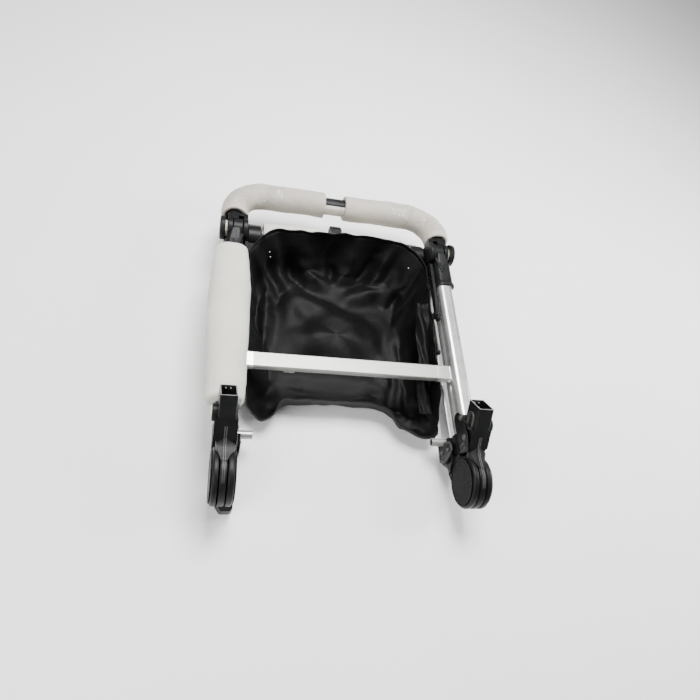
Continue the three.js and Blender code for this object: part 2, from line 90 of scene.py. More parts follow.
AXLE_LOW, AXLE_HIGH = sketch_box("rear_axle_tube")
AXLE_Y = (AXLE_LOW.y + AXLE_HIGH.y) / 2
AXLE_Z = (AXLE_LOW.z + AXLE_HIGH.z) / 2
AXLE_RADIUS = (AXLE_HIGH.z - AXLE_LOW.z) / 2
FOAM_LOW, FOAM_HIGH = sketch_box("rear_axle_foam")
BAR_LOW, BAR_HIGH = sketch_box("crossbar")

# Dimensions that the frame doesn't give.
TUBE_WALL = 1.6
INNER_LEAF = (INNER_CAP[1] + 0.3, INNER_CAP[1] + 11.8)
OUTER_LEAF = (OUTER_CAP[0] - 10.8, OUTER_CAP[0] - 0.3)
CENTRE_LEAF = (INNER_LEAF[1] + 2, OUTER_LEAF[0] - 2)
HUB_ACROSS = (215.5, 250)
HUB_CLEARANCE = LEAF_RADIUS + 1.8
COLLAR_END = 125
# The carrier socket leans back from upright; its own frame has z along the socket.
TILTED = Matrix.Rotation(math.radians(-42.2), 4, "X")
SOCKET_WIDTH = 30
SOCKET_ACROSS = (SIDE_X - SOCKET_WIDTH / 2, SIDE_X + SOCKET_WIDTH / 2)
SOCKET_NEAR = 4.1
SOCKET_FAR = 52.6
SOCKET_CENTRE = (SIDE_X, (SOCKET_NEAR + SOCKET_FAR) / 2)
SOCKET_TOP = 148.8
SOCKET_FLOOR = SOCKET_TOP - 62
SOCKET_WALL = 2.6
SLOT_CENTRE = (29, 115)
BUTTON_CENTRE = (27, 108)
# The handle slopes down from its joint; its own frame has y along the arms.
HANDLE_SLOPE = Matrix.Rotation(math.radians(-9.3), 4, "X")
HANDLE = Matrix.Translation(Vector((0, JOINT.y, JOINT.z))) @ HANDLE_SLOPE
JOINT_RADIUS = 24
HANDLE_REACH = 123.6
HANDLE_BEND = 70
GRIP_RADIUS = 19
HANDLE_FOAM_RADIUS = 29.5
HANDLE_GAP = (-31.5, 17)


# ---------------------------------------------------------------- solids
def circle(a, b, radius, steps=64):
    turns = (2 * math.pi * i / steps for i in range(steps))
    return [(a + radius * math.cos(t), b + radius * math.sin(t)) for t in turns]


def arc(a, b, radius, start, end, steps):
    turns = (math.radians(start + (end - start) * i / steps) for i in range(steps + 1))
    return [(a + radius * math.cos(t), b + radius * math.sin(t)) for t in turns]


def rounded(a, b, width, height, radius, steps=8):
    """A rectangle about (a, b) with rounded corners."""
    w, h = width / 2 - radius, height / 2 - radius
    return (
        arc(a + w, b + h, radius, 0, 90, steps)
        + arc(a - w, b + h, radius, 90, 180, steps)
        + arc(a - w, b - h, radius, 180, 270, steps)
        + arc(a + w, b - h, radius, 270, 360, steps)
    )


def oval(z, margin=0.0):
    """The side tubes' flat-sided oval section at a height, grown by a margin."""
    height = TUBE_HEIGHT + 2 * margin
    return rounded(SIDE_X, z, TUBE_WIDTH + 2 * margin, height, height / 2 - 0.01, 14)


def on_axis(axis, a, b, along):
    """A point drawn in (y, z), (x, z) or (x, y), pushed along x, y or z."""
    return {"x": (along, a, b), "y": (a, along, b), "z": (a, b, along)}[axis]


def prism(outline, axis, span, bevel=0.0, segments=2, place=None):
    """A closed prism as a bmesh, with its sharp edges rounded by the bevel."""
    bm = bmesh.new()
    low = [bm.verts.new(on_axis(axis, a, b, span[0])) for a, b in outline]
    high = [bm.verts.new(on_axis(axis, a, b, span[1])) for a, b in outline]
    bm.faces.new(low)
    bm.faces.new(reversed(high))
    for i in range(len(outline)):
        j = (i + 1) % len(outline)
        bm.faces.new((low[j], low[i], high[i], high[j]))
    return finished(bm, bevel, segments, place)


def finished(bm, bevel=0.0, segments=2, place=None, angle=28):
    """Turns the faces outward, bevels the edges sharper than the angle and moves the solid into place."""
    bmesh.ops.recalc_face_normals(bm, faces=bm.faces)
    if bevel:
        edges = [e for e in bm.edges if e.is_manifold and e.calc_face_angle(0) > math.radians(angle)]
        bmesh.ops.bevel(bm, geom=edges, offset=bevel, segments=segments, profile=0.5,
                        affect="EDGES", clamp_overlap=True)
    if place is not None:
        bm.transform(place)
    return bm


def pipe(outer, inner, axis, span, bevel=0.4, place=None):
    """A hollow prism between two outlines with the same number of points."""
    bm = bmesh.new()
    count = len(outer)
    loops = [[bm.verts.new(on_axis(axis, a, b, at)) for a, b in line]
             for line, at in ((outer, span[0]), (outer, span[1]), (inner, span[1]), (inner, span[0]))]
    for k in range(4):
        one, two = loops[k], loops[(k + 1) % 4]
        for i in range(count):
            j = (i + 1) % count
            bm.faces.new((one[i], one[j], two[j], two[i]))
    return finished(bm, bevel, 2, place)


def box(x, y, z, bevel=0.6, place=None):
    outline = [(x[0], y[0]), (x[1], y[0]), (x[1], y[1]), (x[0], y[1])]
    return prism(outline, "z", z, bevel, 2, place)


def lathe(profile, centre, axis="x", steps=96, place=None):
    """A closed profile of (along, radius) turned about an axis through the centre (a, b)."""
    bm = bmesh.new()
    rings = []
    for along, radius in profile:
        if radius <= 0:
            rings.append([bm.verts.new(on_axis(axis, centre[0], centre[1], along))])
            continue
        rings.append([bm.verts.new(on_axis(axis, a, b, along)) for a, b in circle(*centre, radius, steps)])
    pairs = list(zip(rings, rings[1:]))
    if profile[0][1] > 0:
        pairs.append((rings[-1], rings[0]))
    for one, two in pairs:
        for i in range(steps):
            j = (i + 1) % steps
            corners = [one[i % len(one)], one[j % len(one)], two[j % len(two)], two[i % len(two)]]
            corners = list(dict.fromkeys(corners))
            if len(corners) > 2:
                bm.faces.new(corners)
    return finished(bm, place=place)


def rod(radius, span, y, z, bevel=0.8, steps=64, place=None):
    """A solid cylinder across X with softened ends."""
    low, high = span
    profile = [(low, 0), (low, radius - bevel)]
    profile += [(low + bevel * (1 - math.cos(t)), radius - bevel * (1 - math.sin(t)))
                for t in (math.pi / 8, math.pi / 4, 3 * math.pi / 8, math.pi / 2)]
    profile += [(low + high - a, r) for a, r in reversed(profile)]
    return lathe(profile, (y, z), "x", steps, place)


def dome(radius, height, centre, direction, steps=20):
    """A rivet or screw head: a low dome on a short collar."""
    rings = [(0, 0), (0, radius), (0.25 * height, radius)]
    rings += [(height * (0.25 + 0.75 * math.sin(t)), radius * math.cos(t))
              for t in (0.35, 0.7, 1.05, 1.3)]
    rings.append((height, 0))
    turn = Vector((1, 0, 0)).rotation_difference(Vector(direction)).to_matrix().to_4x4()
    return lathe(rings, (0, 0), "x", steps, Matrix.Translation(Vector(centre)) @ turn)


def loft(rings, closed_ends=True, ring_closed=True):
    """A skin over rings that have the same number of points."""
    bm = bmesh.new()
    made = [[bm.verts.new(p) for p in ring] for ring in rings]
    count = len(rings[0])
    for one, two in zip(made, made[1:]):
        for i in range(count if ring_closed else count - 1):
            j = (i + 1) % count
            bm.faces.new((one[i], one[j], two[j], two[i]))
    if closed_ends:
        bm.faces.new(reversed(made[0]))
        bm.faces.new(made[-1])
    return finished(bm)


def closed_loft(rings):
    """A skin over rings that come back to the first one."""
    bm = loft([*rings, rings[0]], closed_ends=False)
    bmesh.ops.remove_doubles(bm, verts=bm.verts, dist=0.001)
    return finished(bm)


def smoothed(bm, verts, passes=1):
    """Evens out the given vertices."""
    for _ in range(passes):
        bmesh.ops.smooth_vert(bm, verts=verts, factor=0.5, use_axis_x=True, use_axis_y=True, use_axis_z=True)


def as_object(bm, name="tool"):
    mesh = bpy.data.meshes.new(name)
    bm.to_mesh(mesh)
    bm.free()
    obj = bpy.data.objects.new(name, mesh)
    bpy.context.scene.collection.objects.link(obj)
    return obj


def combined(first, others, operation, bevel=0.0, segments=2, place=None, angle=28):
    """The first solid joined with, cut by or clipped to each of the others."""
    base = as_object(first)
    tools = [as_object(bm) for bm in others]
    for tool in tools:
        step = base.modifiers.new("step", "BOOLEAN")
        step.operation, step.object, step.solver = operation, tool, "EXACT"
    bpy.context.view_layer.update()
    result = bmesh.new()
    result.from_object(base, bpy.context.evaluated_depsgraph_get())
    for obj in [base, *tools]:
        mesh = obj.data
        bpy.data.objects.remove(obj)
        bpy.data.meshes.remove(mesh)
    bmesh.ops.remove_doubles(result, verts=result.verts, dist=0.01)
    bmesh.ops.dissolve_limit(result, angle_limit=math.radians(0.5), verts=result.verts, edges=result.edges)
    return finished(result, bevel, segments, place, angle)


def cut(first, *tools, bevel=0.0, **more):
    return combined(first, tools, "DIFFERENCE", bevel, **more)


def clip(first, *tools, bevel=0.0, **more):
    return combined(first, tools, "INTERSECT", bevel, **more)


def join(first, *tools, bevel=0.0, **more):
    return combined(first, tools, "UNION", bevel, **more)


def make(name, parts, material, body, side=1, replaces=(), smooth_angle=32, weighted=True):
    """Joins finished solids, in sketch millimetres, into one named piece that rides on a body."""
    whole = bmesh.new()
    for bm in parts:
        mesh = bpy.data.meshes.new("part")
        bm.to_mesh(mesh)
        bm.free()
        whole.from_mesh(mesh)
        bpy.data.meshes.remove(mesh)
    if side < 0:
        whole.transform(Matrix.Scale(-1, 4, (1, 0, 0)))
        bmesh.ops.reverse_faces(whole, faces=whole.faces)
    whole.transform(TO_ROW)
    obj = as_object(whole, name)
    obj.data.polygons.foreach_set("use_smooth", [True] * len(obj.data.polygons))
    obj.data.set_sharp_from_angle(angle=math.radians(smooth_angle))
    if weighted:
        obj.modifiers.new("even normals", "WEIGHTED_NORMAL").keep_sharp = True
    obj.data.materials.append(MATERIALS[material])
    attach(obj, body)
    if replaces:
        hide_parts(*replaces)
    return obj


def make_pair(name, parts, material, body, replaced=(), **more):
    """The same piece on the left and on the right."""
    for side, sign in SIDES.items():
        nodes = [f"{node}_{side}" for node in replaced]
        copies = [bm.copy() for bm in parts]
        make(f"{name}_{side}", copies, material, body.format(side=side), sign, nodes, **more)
    for bm in parts:
        bm.free()


# ---------------------------------------------------------------- materials
class Shader:
    """A node material whose patterns are drawn in the object's own metres."""

    def __init__(self, name, **values):
        self.material = bpy.data.materials.new(name)
        self.material.use_nodes = True
        self.tree = self.material.node_tree
        self.shader = self.tree.nodes["Principled BSDF"]
        self.coordinates = self.add("ShaderNodeTexCoord").outputs["Object"]
        for socket, value in values.items():
            self.shader.inputs[socket.replace("_", " ")].default_value = value

    def add(self, kind, inputs=None, **settings):
        node = self.tree.nodes.new(kind)
        for key, value in settings.items():
            setattr(node, key, value)
        for key, value in (inputs or {}).items():
            if isinstance(value, bpy.types.NodeSocket):
                self.tree.links.new(value, node.inputs[key])
            else:
                node.inputs[key].default_value = value
        return node

    def stretched(self, scale):
        return self.add("ShaderNodeMapping", {"Vector": self.coordinates, "Scale": scale}).outputs[0]

    def noise(self, scale, detail=3.0, vector=None, roughness=0.5):
        inputs = {"Vector": vector or self.coordinates, "Scale": scale}
        inputs.update({"Detail": detail, "Roughness": roughness})
        return self.add("ShaderNodeTexNoise", inputs).outputs["Fac"]

    def ramp(self, factor, stops):
        node = self.add("ShaderNodeValToRGB", {"Fac": factor})
        elements = node.color_ramp.elements
        while len(elements) < len(stops):
            elements.new(0.5)
        for element, (place, colour) in zip(elements, stops):
            element.position = place
            element.color = (*colour, 1)
        return node.outputs["Color"]

    def span(self, factor, low, high):
        node = self.add("ShaderNodeMapRange", {"Value": factor, "To Min": low, "To Max": high})
        return node.outputs["Result"]

    def math(self, operation, a, b=0.0):
        return self.add("ShaderNodeMath", {0: a, 1: b}, operation=operation).outputs[0]

    def into(self, socket, value):
        self.tree.links.new(value, self.shader.inputs[socket])

    def bump(self, height, depth, strength=1.0, normal=None):
        inputs = {"Height": height, "Distance": depth, "Strength": strength}
        if normal is not None:
            inputs["Normal"] = normal
        return self.add("ShaderNodeBump", inputs).outputs["Normal"]


def moulded_plastic(name, colour, roughness, grain=0.00004, shine=0.22):
    """Plastic with a faint cloudiness and a fine moulded grain."""
    s = Shader(name, Specular_IOR_Level=shine)
    dark, light = [c * 0.8 for c in colour], [c * 1.35 for c in colour]
    s.into("Base Color", s.ramp(s.noise(45, 4), [(0.35, dark), (0.7, light)]))
    s.into("Roughness", s.span(s.noise(160, 5), roughness - 0.07, roughness + 0.09))
    s.into("Normal", s.bump(s.noise(2600, 2), grain))
    return s.material


def drawn_metal(name, colour, roughness, stretch, metallic=0.85):
    """Metal with fine die lines along one axis: the stretch is small along the lines."""
    s = Shader(name, Metallic=metallic)
    lines = s.noise(1.0, 3, s.stretched(stretch))
    cloudy = s.noise(22, 3)
    dark, light = [c * 0.9 for c in colour], [min(1, c * 1.06) for c in colour]
    s.into("Base Color", s.ramp(cloudy, [(0.3, dark), (0.7, light)]))
    mixed = s.math("ADD", s.math("MULTIPLY", lines, 0.6), s.math("MULTIPLY", cloudy, 0.4))
    s.into("Roughness", s.span(mixed, roughness - 0.08, roughness + 0.12))
    s.into("Normal", s.bump(lines, 0.000012))
    return s.material


def packing_foam(name, colour):
    """Soft foam with cells, fine grains and slow changes of tone."""
    s = Shader(name, Subsurface_Weight=0.25, Subsurface_Scale=0.004, Specular_IOR_Level=0.25)
    s.shader.inputs["Subsurface Radius"].default_value = (1.0, 0.95, 0.85)
    cells = s.add("ShaderNodeTexVoronoi", {"Vector": s.coordinates, "Scale": 420.0}).outputs["Distance"]
    grains = s.noise(900, 4)
    patches = s.noise(14, 3)
    tone = s.math("ADD", s.math("MULTIPLY", grains, 0.5), s.math("MULTIPLY", patches, 0.5))
    shades = [(place, [c * share for c in colour])
              for place, share in ((0.3, 0.83), (0.52, 1.0), (0.75, 1.12))]
    s.into("Base Color", s.ramp(tone, shades))
    s.into("Roughness", s.span(grains, 0.55, 0.8))
    fine = s.bump(grains, 0.0003)
    s.into("Normal", s.bump(cells, 0.0006, 0.8, fine))
    return s.material


def clear_film():
    """A faint warm skin, with painted glints: small white, nearly opaque spots on its sharp creases."""
    s = Shader("clear_film", Roughness=0.06, Specular_IOR_Level=0.8)
    creases = s.noise(310, 3, None, 0.6)
    patches = s.noise(26, 2)
    # Painted glints: where both noises pass their thresholds the skin turns white, nearly opaque and partly
    # metallic.
    painted_glints = s.math("MULTIPLY", s.ramp(creases, [(0.55, (0, 0, 0)), (0.59, (1, 1, 1))]),
                    s.ramp(patches, [(0.42, (0, 0, 0)), (0.52, (1, 1, 1))]))
    s.into("Base Color", s.ramp(painted_glints, [(0.2, (0.40, 0.37, 0.33)), (0.8, (1.0, 1.0, 0.99))]))
    s.into("Alpha", s.span(painted_glints, 0.12, 0.97))
    s.into("Metallic", s.span(painted_glints, 0.0, 0.3))
    s.into("Normal", s.bump(creases, 0.003))
    return s.material


def woven_nylon():
    """Black cloth with a crossed weave and a slight rumple."""
    s = Shader("woven_nylon", Sheen_Weight=0.02, Sheen_Roughness=0.5, Specular_IOR_Level=0.11)
    s.shader.inputs["Sheen Tint"].default_value = (0.7, 0.72, 0.75, 1)
    threads = []
    for axis in ("X", "Y"):
        wave = s.add("ShaderNodeTexWave", {"Vector": s.coordinates, "Scale": 420.0, "Distortion": 0.6},
                     bands_direction=axis)
        threads.append(wave.outputs["Fac"])
    weave = s.math("MULTIPLY", *threads)
    dark, light = (0.0012, 0.0012, 0.0013), (0.0034, 0.0034, 0.0036)
    s.into("Base Color", s.ramp(s.noise(28, 5), [(0.3, dark), (0.7, light)]))
    s.into("Roughness", s.span(s.noise(70, 4), 0.38, 0.52))
    rumple = s.bump(s.noise(55, 4, None, 0.5), 0.0016, 0.4)
    s.into("Normal", s.bump(weave, 0.00012, 0.7, rumple))
    return s.material


def cream_leather():
    s = Shader("cream_leather", Specular_IOR_Level=0.35)
    dark, light = (0.52, 0.49, 0.42), (0.68, 0.65, 0.58)
    s.into("Base Color", s.ramp(s.noise(120, 4), [(0.3, dark), (0.7, light)]))
    s.into("Roughness", s.span(s.noise(300, 3), 0.45, 0.65))
    s.into("Normal", s.bump(s.noise(1200, 3), 0.00015))
    return s.material


MATERIALS = {
    "black": moulded_plastic("black_moulding", (0.0068, 0.007, 0.0073), 0.38, shine=0.15),
    "black_face": moulded_plastic("black_gloss_face", (0.0035, 0.0035, 0.004), 0.25, 0.000015, 0.02),
    # This darker black is painted shade, for the slots and the socket's floor.
    "dark": moulded_plastic("painted_recess_shade", (0.004, 0.004, 0.004), 0.6),
    "grip": moulded_plastic("grip_skin", (0.012, 0.012, 0.014), 0.36, 0.00002, 0.12),
    "cream": moulded_plastic("cream_moulding", (0.58, 0.545, 0.45), 0.35),
    # These two lighter greys, for raised edges, ribs, rims, rivets and nubs on the black mouldings, are
    # painted highlight.
    "rim": moulded_plastic("painted_rim_highlight", (0.17, 0.17, 0.165), 0.35),
    "painted_highlight": moulded_plastic("painted_edge_highlight", (0.055, 0.054, 0.05), 0.28),
    "tube": drawn_metal("anodised_tube", (0.66, 0.66, 0.65), 0.27, (900.0, 12.0, 900.0)),
    "bar": drawn_metal("anodised_bar", (0.36, 0.362, 0.345), 0.42, (12.0, 900.0, 900.0)),
    "ferrule": drawn_metal("ferrule_metal", (0.60, 0.60, 0.585), 0.28, (700.0, 30.0, 700.0)),
    "steel": drawn_metal("zinc_steel", (0.40, 0.40, 0.39), 0.30, (40.0, 300.0, 300.0), 0.6),
    "foam": packing_foam("packing_foam", (0.595, 0.585, 0.525)),
    "wrapped_foam": packing_foam("wrapped_foam", (0.44, 0.405, 0.355)),
    "film": clear_film(),
    "nylon": woven_nylon(),
    "leather": cream_leather(),
}


# ---------------------------------------------------------------- fold hubs
def leaf(span, rounded_end=0):
    """One hub leaf with fine shoulder lines; a sign makes the shoulder at that end large and round."""
    low, high = span
    r = LEAF_RADIUS
    shoulder = [(0, 0), (0, r - 2.2), (0.5, r - 0.9), (1.5, r - 0.7), (1.8, r - 0.25), (3, r)]
    profile = [(low + along, radius) for along, radius in shoulder]
    if not rounded_end:
        profile += [(high - along, radius) for along, radius in reversed(shoulder)]
        return lathe(profile, (0, 0), steps=128)
    corner = 4.4
    turns = (math.pi * i / 16 for i in range(9))
    profile += [(high - corner + corner * math.sin(t), r - corner + corner * math.cos(t)) for t in turns]
    profile.append((high, 0))
    if rounded_end < 0:
        profile = [(low + high - along, radius) for along, radius in reversed(profile)]
    return lathe(profile, (0, 0), steps=128)


def cap(span, outward):
    """A hub cover: a smooth dished face inside a raised rim."""
    back, front = span if outward > 0 else reversed(span)
    r = CAP_RADIUS
    rings = [(0, 0), (0, r), (0.55, r), (0.8, r - 0.5), (1.0, r - 1.4), (1.0, r - 2.4), (0.75, r - 3.0)]
    rings += [(0.6, r - 6), (0.7, 14), (0.72, 0)]
    return lathe([(back + share * (front - back), radius) for share, radius in rings], (0, 0), steps=128)


def casing_strip():
    """The outer casing that hugs the leaves from below."""
    outline = [(58, -80), (40, -80.6), (18, -71), (0, -70.6), (-16, -63), (-36, -47), (-43.4, -29)]
    outline += arc(0, 0, HUB_CLEARANCE, 214, 321, 40)
    return prism(outline, "x", (CENTRE_LEAF[0] - 1, OUTER_LEAF[1] - 2), 0.8)


def leg_socket(span):
    """The room for the front leg inside the part that grips it."""
    return prism(rounded(*FRONT_LEG, LEG_SIZE[0] + 0.6, LEG_SIZE[1] + 0.6, 3), "y", span)


def leg_clamp():
    """The block under the hub that grips the front leg."""
    section = [(211, -25), (211, -64), (226, FLOOR_Z), (247, FLOOR_Z), (251, -84), (251, -25)]
    side = [(99, -25), (40, -25), (12, -27), (26, -41), (41, -47), (48, -56), (60, -70)]
    side += [(66, FLOOR_Z), (99, FLOOR_Z)]
    clearance = rod(HUB_CLEARANCE, (200, OUTER_LEAF[0]), 0, 0, 0.01, 128)
    pocket = leg_socket((60, 110))
    body = clip(prism(section, "y", (5, 99)), prism(side, "x", (205, 260)))
    return cut(body, clearance, pocket, bevel=1.0)


def clamp_plate():
    """The three-cornered plate on the clamp's inner side, that reaches up beside the rear leg."""
    outline = [(104, -64), (83, -5), (77, 0), (64, 0), (57, -11), (53, -24), (50, -46), (60, -66)]
    web = box((205.6, 211.4), (66, 92), (-62, -27), 0.8)
    return [prism(outline, "x", (205.0, 206.6), 0.5), web]


def clamp_details():
    """The plate's raised edge, its bolts, and the studs on the clamp's lower edge."""
    outline = [(101, -61), (82, -6), (76, -1.5), (65, -1.5), (59, -12), (55, -24), (53, -45), (62, -62)]
    opening = [(98, -59), (80.5, -7), (75, -3), (65.8, -3), (60.5, -13), (56.5, -25), (54.5, -44), (63, -60)]
    parts = [cut(prism(outline, "x", (203.8, 205.4), 0), prism(opening, "x", (203, 206)), bevel=0.4)]
    for y, z in ((71, -19), (74, -48)):
        parts.append(prism(circle(y, z, 4.6, 6), "x", (203.0, 205.4), 0.5))
        parts.append(lathe([(201.8, 0), (201.8, 2.2), (203.2, 2.4), (203.2, 0)], (y, z), steps=24))
    for y, z in ((50, -50), (43, -43), (34, -38)):
        parts.append(dome(2.8, 2.0, (211.2, y, z), (-1, 0, 0), 24))
    for y in (82, 70, 58):
        parts.append(box((209.6, 212), (y - 3, y + 3), (-66, -62), 0.5))
    return parts


def rear_clamp():
    """The collar on the rear leg's near end, and the block that closes it."""
    outer = rounded(SIDE_X - 0.5, REAR_LEG_Z, 41, 24.4, 9)
    inner = [(SIDE_X + (x - SIDE_X) * 0.86, REAR_LEG_Z + (z - REAR_LEG_Z) * 0.95) for x, z in outer]
    return [prism(outer, "y", (52.5, 60), 1.2), pipe(outer, inner, "y", (52.5, 96), 0.3)]


def fold_hubs():
    outer = [leaf(OUTER_LEAF, 1), casing_strip(), leg_clamp()]
    make_pair("outer_leaf", outer, "black", "front_frame", ["front_hub"])
    make_pair("clamp_plate", clamp_plate(), "black", "front_frame")
    # The fixings are drawn in a lighter grey: painted highlight on their raised edges.
    make_pair("clamp_fixings", clamp_details(), "painted_highlight", "front_frame")
    make_pair("outer_cap", [cap(OUTER_CAP, 1)], "black_face", "front_frame", ["hub_cap_outer"],
              smooth_angle=40)
    arm = box(INNER_LEAF, (28, 60), (REAR_LEG_Z - 12, REAR_LEG_Z + 12), 1.2)
    inner = [leaf(INNER_LEAF, -1), arm, *rear_clamp()]
    make_pair("inner_leaf", inner, "black", "rear_frame", ["rear_hub"])
    make_pair("inner_cap", [cap(INNER_CAP, -1)], "black_face", "rear_frame", ["hub_cap_inner"],
              smooth_angle=40)


def socket_outline(inset, radius, steps=6):
    """The socket's square section, pulled in all round by an inset."""
    width, depth = SOCKET_WIDTH - 2 * inset, SOCKET_FAR - SOCKET_NEAR - 2 * inset
    return rounded(*SOCKET_CENTRE, width, depth, radius, steps)


def sleeve():
    """The carrier socket: a square tube with guide ribs on two of its inner walls."""
    outer, inner = socket_outline(0, 3.4), socket_outline(SOCKET_WALL, 1.6)
    parts = [pipe(outer, inner, "z", (SOCKET_FLOOR, SOCKET_TOP), 0.5, TILTED)]
    parts.append(prism(outer, "z", (60, SOCKET_FLOOR + 0.5), 0.3, place=TILTED))
    far = (SOCKET_FAR - SOCKET_WALL - 1.6, SOCKET_FAR - 1)
    near = (SOCKET_NEAR + 1, SOCKET_NEAR + SOCKET_WALL + 1.4)
    for x in (-7.5, 0, 7.5):
        rib = (SIDE_X + x - 0.9, SIDE_X + x + 0.9)
        parts.append(box(rib, far, (SOCKET_FLOOR, SOCKET_TOP - 2.5), 0.3, TILTED))
        if x:
            parts.append(box(rib, near, (SOCKET_FLOOR, SOCKET_TOP - 4), 0.3, TILTED))
    return parts


def socket_lip():
    """The pale edge round the socket's mouth and the two nubs on its far inner wall, their light grey a
    painted highlight.
    """
    outer, inner = socket_outline(0.25, 3.2), socket_outline(SOCKET_WALL - 0.3, 1.8)
    parts = [pipe(outer, inner, "z", (SOCKET_TOP - 1, SOCKET_TOP + 0.5), 0.5, TILTED)]
    far = (SOCKET_FAR - SOCKET_WALL - 2.2, SOCKET_FAR - 1)
    for x in (SIDE_X - 4.2, SIDE_X + 4.2):
        parts.append(box((x - 1.2, x + 1.2), far, (SOCKET_TOP - 6, SOCKET_TOP - 3.5), 0.4, TILTED))
    return parts


def crown():
    """The block that carries the socket and the side tube's collar, narrowed in a V to the centre leaf."""
    outline = [(30, 27), (73.6, 75), (107.7, 44.1), (112, 36.5)]
    outline += [(COLLAR_END - 4, 37.5), (COLLAR_END, 34), (COLLAR_END, 8), (45, 8), (34, 16)]
    wide, narrow = (HUB_ACROSS[0], HUB_ACROSS[1] + 4), CENTRE_LEAF
    v_section = [(wide[0], 170), (wide[0], 70), (narrow[0], LEAF_RADIUS + 2.5), (narrow[0], 20)]
    v_section += [(narrow[1], 20), (narrow[1], LEAF_RADIUS + 2.5), (wide[1], 70), (wide[1], 170)]
    v_prism = prism(v_section, "y", (-60, 34), place=TILTED)
    rear = box((wide[0] - 1, wide[1] + 1), (33, 130), (20, 170), 0, TILTED)
    clearances = [rod(HUB_CLEARANCE, span, 0, 0, 0.01, 128)
                  for span in ((wide[0] - 1, CENTRE_LEAF[0]), (CENTRE_LEAF[1], wide[1] + 1))]
    pocket = prism(oval(TUBE_Z, 0.3), "y", (70, 130))
    shaped = clip(prism(outline, "x", wide), join(v_prism, rear))
    return cut(shaped, *clearances, pocket, bevel=0.7)


def wedge_line(proud):
    """The near face's profile from the socket down to the centre leaf's rim, in tilted (y, z)."""
    rim = LEAF_RADIUS + 1.6
    end = math.radians(117)
    knots = [(SOCKET_NEAR - 0.6, 71), (-1.5, 58), (rim * math.cos(end), rim * math.sin(end))]
    points = []
    for i in range(13):
        t = i / 12
        weights = (1 - t) ** 2, 2 * t * (1 - t), t * t
        a, b = (sum(w * knot[k] for w, knot in zip(weights, knots)) for k in (0, 1))
        points.append((a - 0.8 * proud, b + 0.6 * proud))
    return points


def rim_wedge():
    """The V that runs down over the leaves' rims from the crown to the centre leaf."""
    under = LEAF_RADIUS + 0.5
    outline = [(SOCKET_NEAR + 3, 72), *wedge_line(0), *arc(0, 0, under, 120, 82, 30)]
    inner, outer = HUB_ACROSS
    left, right = CENTRE_LEAF
    tip, shoulder = -23.5, 0.5
    v = [(inner, 12), (inner, shoulder), (left, tip), (left, -40)]
    v += [(right, -40), (right, tip), (outer, shoulder), (outer, 12)]
    gable = [(SIDE_X - 30, 20), (SIDE_X - 30, 55), (SIDE_X, 71.5), (SIDE_X + 30, 55), (SIDE_X + 30, 20)]
    blank = clip(prism(outline, "x", (210, 260)), prism(v, "z", (20, 90)))
    return clip(blank, prism(gable, "y", (-60, 20)), bevel=0.5, place=TILTED)


def collar_cheek():
    """The inner cheek plate of the collar with its arched end."""
    arch = [(62, 11), (COLLAR_END - 2, 9), (COLLAR_END + 6, 13), (COLLAR_END + 8, 22), (COLLAR_END + 4, 32)]
    arch += [(COLLAR_END - 3, 38), (112, 42), (98, 46), (78, 52), (62, 50), (46, 44), (50, 20)]
    return [prism(arch, "x", (214.6, 216.6), 0.6)]


def cheek_fixings():
    """Two large rivets on the cheek and, beside the leaf, a small field of short ribs."""
    parts = []
    for y, z in ((116.5, 36.5), (75.5, 38.5)):
        parts.append(dome(4.8, 3.4, (214.8, y, z), (-1, 0, 0), 28))
        parts.append(lathe([(214.0, 5.2), (214.0, 6.6), (215, 7.0), (215, 5.0)], (y, z), steps=32))
    for i in range(8):
        y, z = 54.5 + 8.6 * (i % 2), 19 + 5.6 * (i // 2)
        rib = box((212.9, 216.2), (-3.4, 3.4), (-1.0, 1.0), 0.4)
        rib.transform(Matrix.Translation(Vector((0, y, z))) @ Matrix.Rotation(math.radians(20), 4, "X"))
        parts.append(rib)
    return parts


def spine_ribs():
    """Two fine ribs that run down the socket's near face, over the V and on round the centre leaf."""
    parts = []
    for x in (SIDE_X - 2.4, SIDE_X + 0.8):
        outline = [(SOCKET_NEAR + 1, 94), (SOCKET_NEAR - 0.8, 91), (SOCKET_NEAR - 1.5, 84)]
        outline += wedge_line(1.9)
        outline += arc(0, 0, LEAF_RADIUS + 1.3, 123, 160, 16) + arc(0, 0, LEAF_RADIUS - 1.5, 168, 90, 24)
        outline += [(SOCKET_NEAR + 1, 66)]
        parts.append(prism(outline, "x", (x, x + 1.6), 0.4, place=TILTED))
    return parts


def oval_slot():
    """The double-ringed slot on the socket's inner side."""
    parts = []
    inner_side = SOCKET_ACROSS[0]
    sizes = ((25, 36, 20.6, 31.6), (17.6, 28.6, 14, 25))
    for proud, (w, h, iw, ih) in zip((2.2, 1.4), sizes):
        outer = rounded(*SLOT_CENTRE, w, h, w / 2 - 0.01, 10)
        inner = rounded(*SLOT_CENTRE, iw, ih, iw / 2 - 0.01, 10)
        parts.append(pipe(outer, inner, "x", (inner_side - proud, inner_side + 0.4), 0.4, TILTED))
    return parts


def slot_shade():
    """The dark bottom of the slot."""
    outline = rounded(*SLOT_CENTRE, 14.2, 25.2, 7.09, 10)
    return prism(outline, "x", (SOCKET_ACROSS[0] - 0.25, SOCKET_ACROSS[0] + 0.4), place=TILTED)


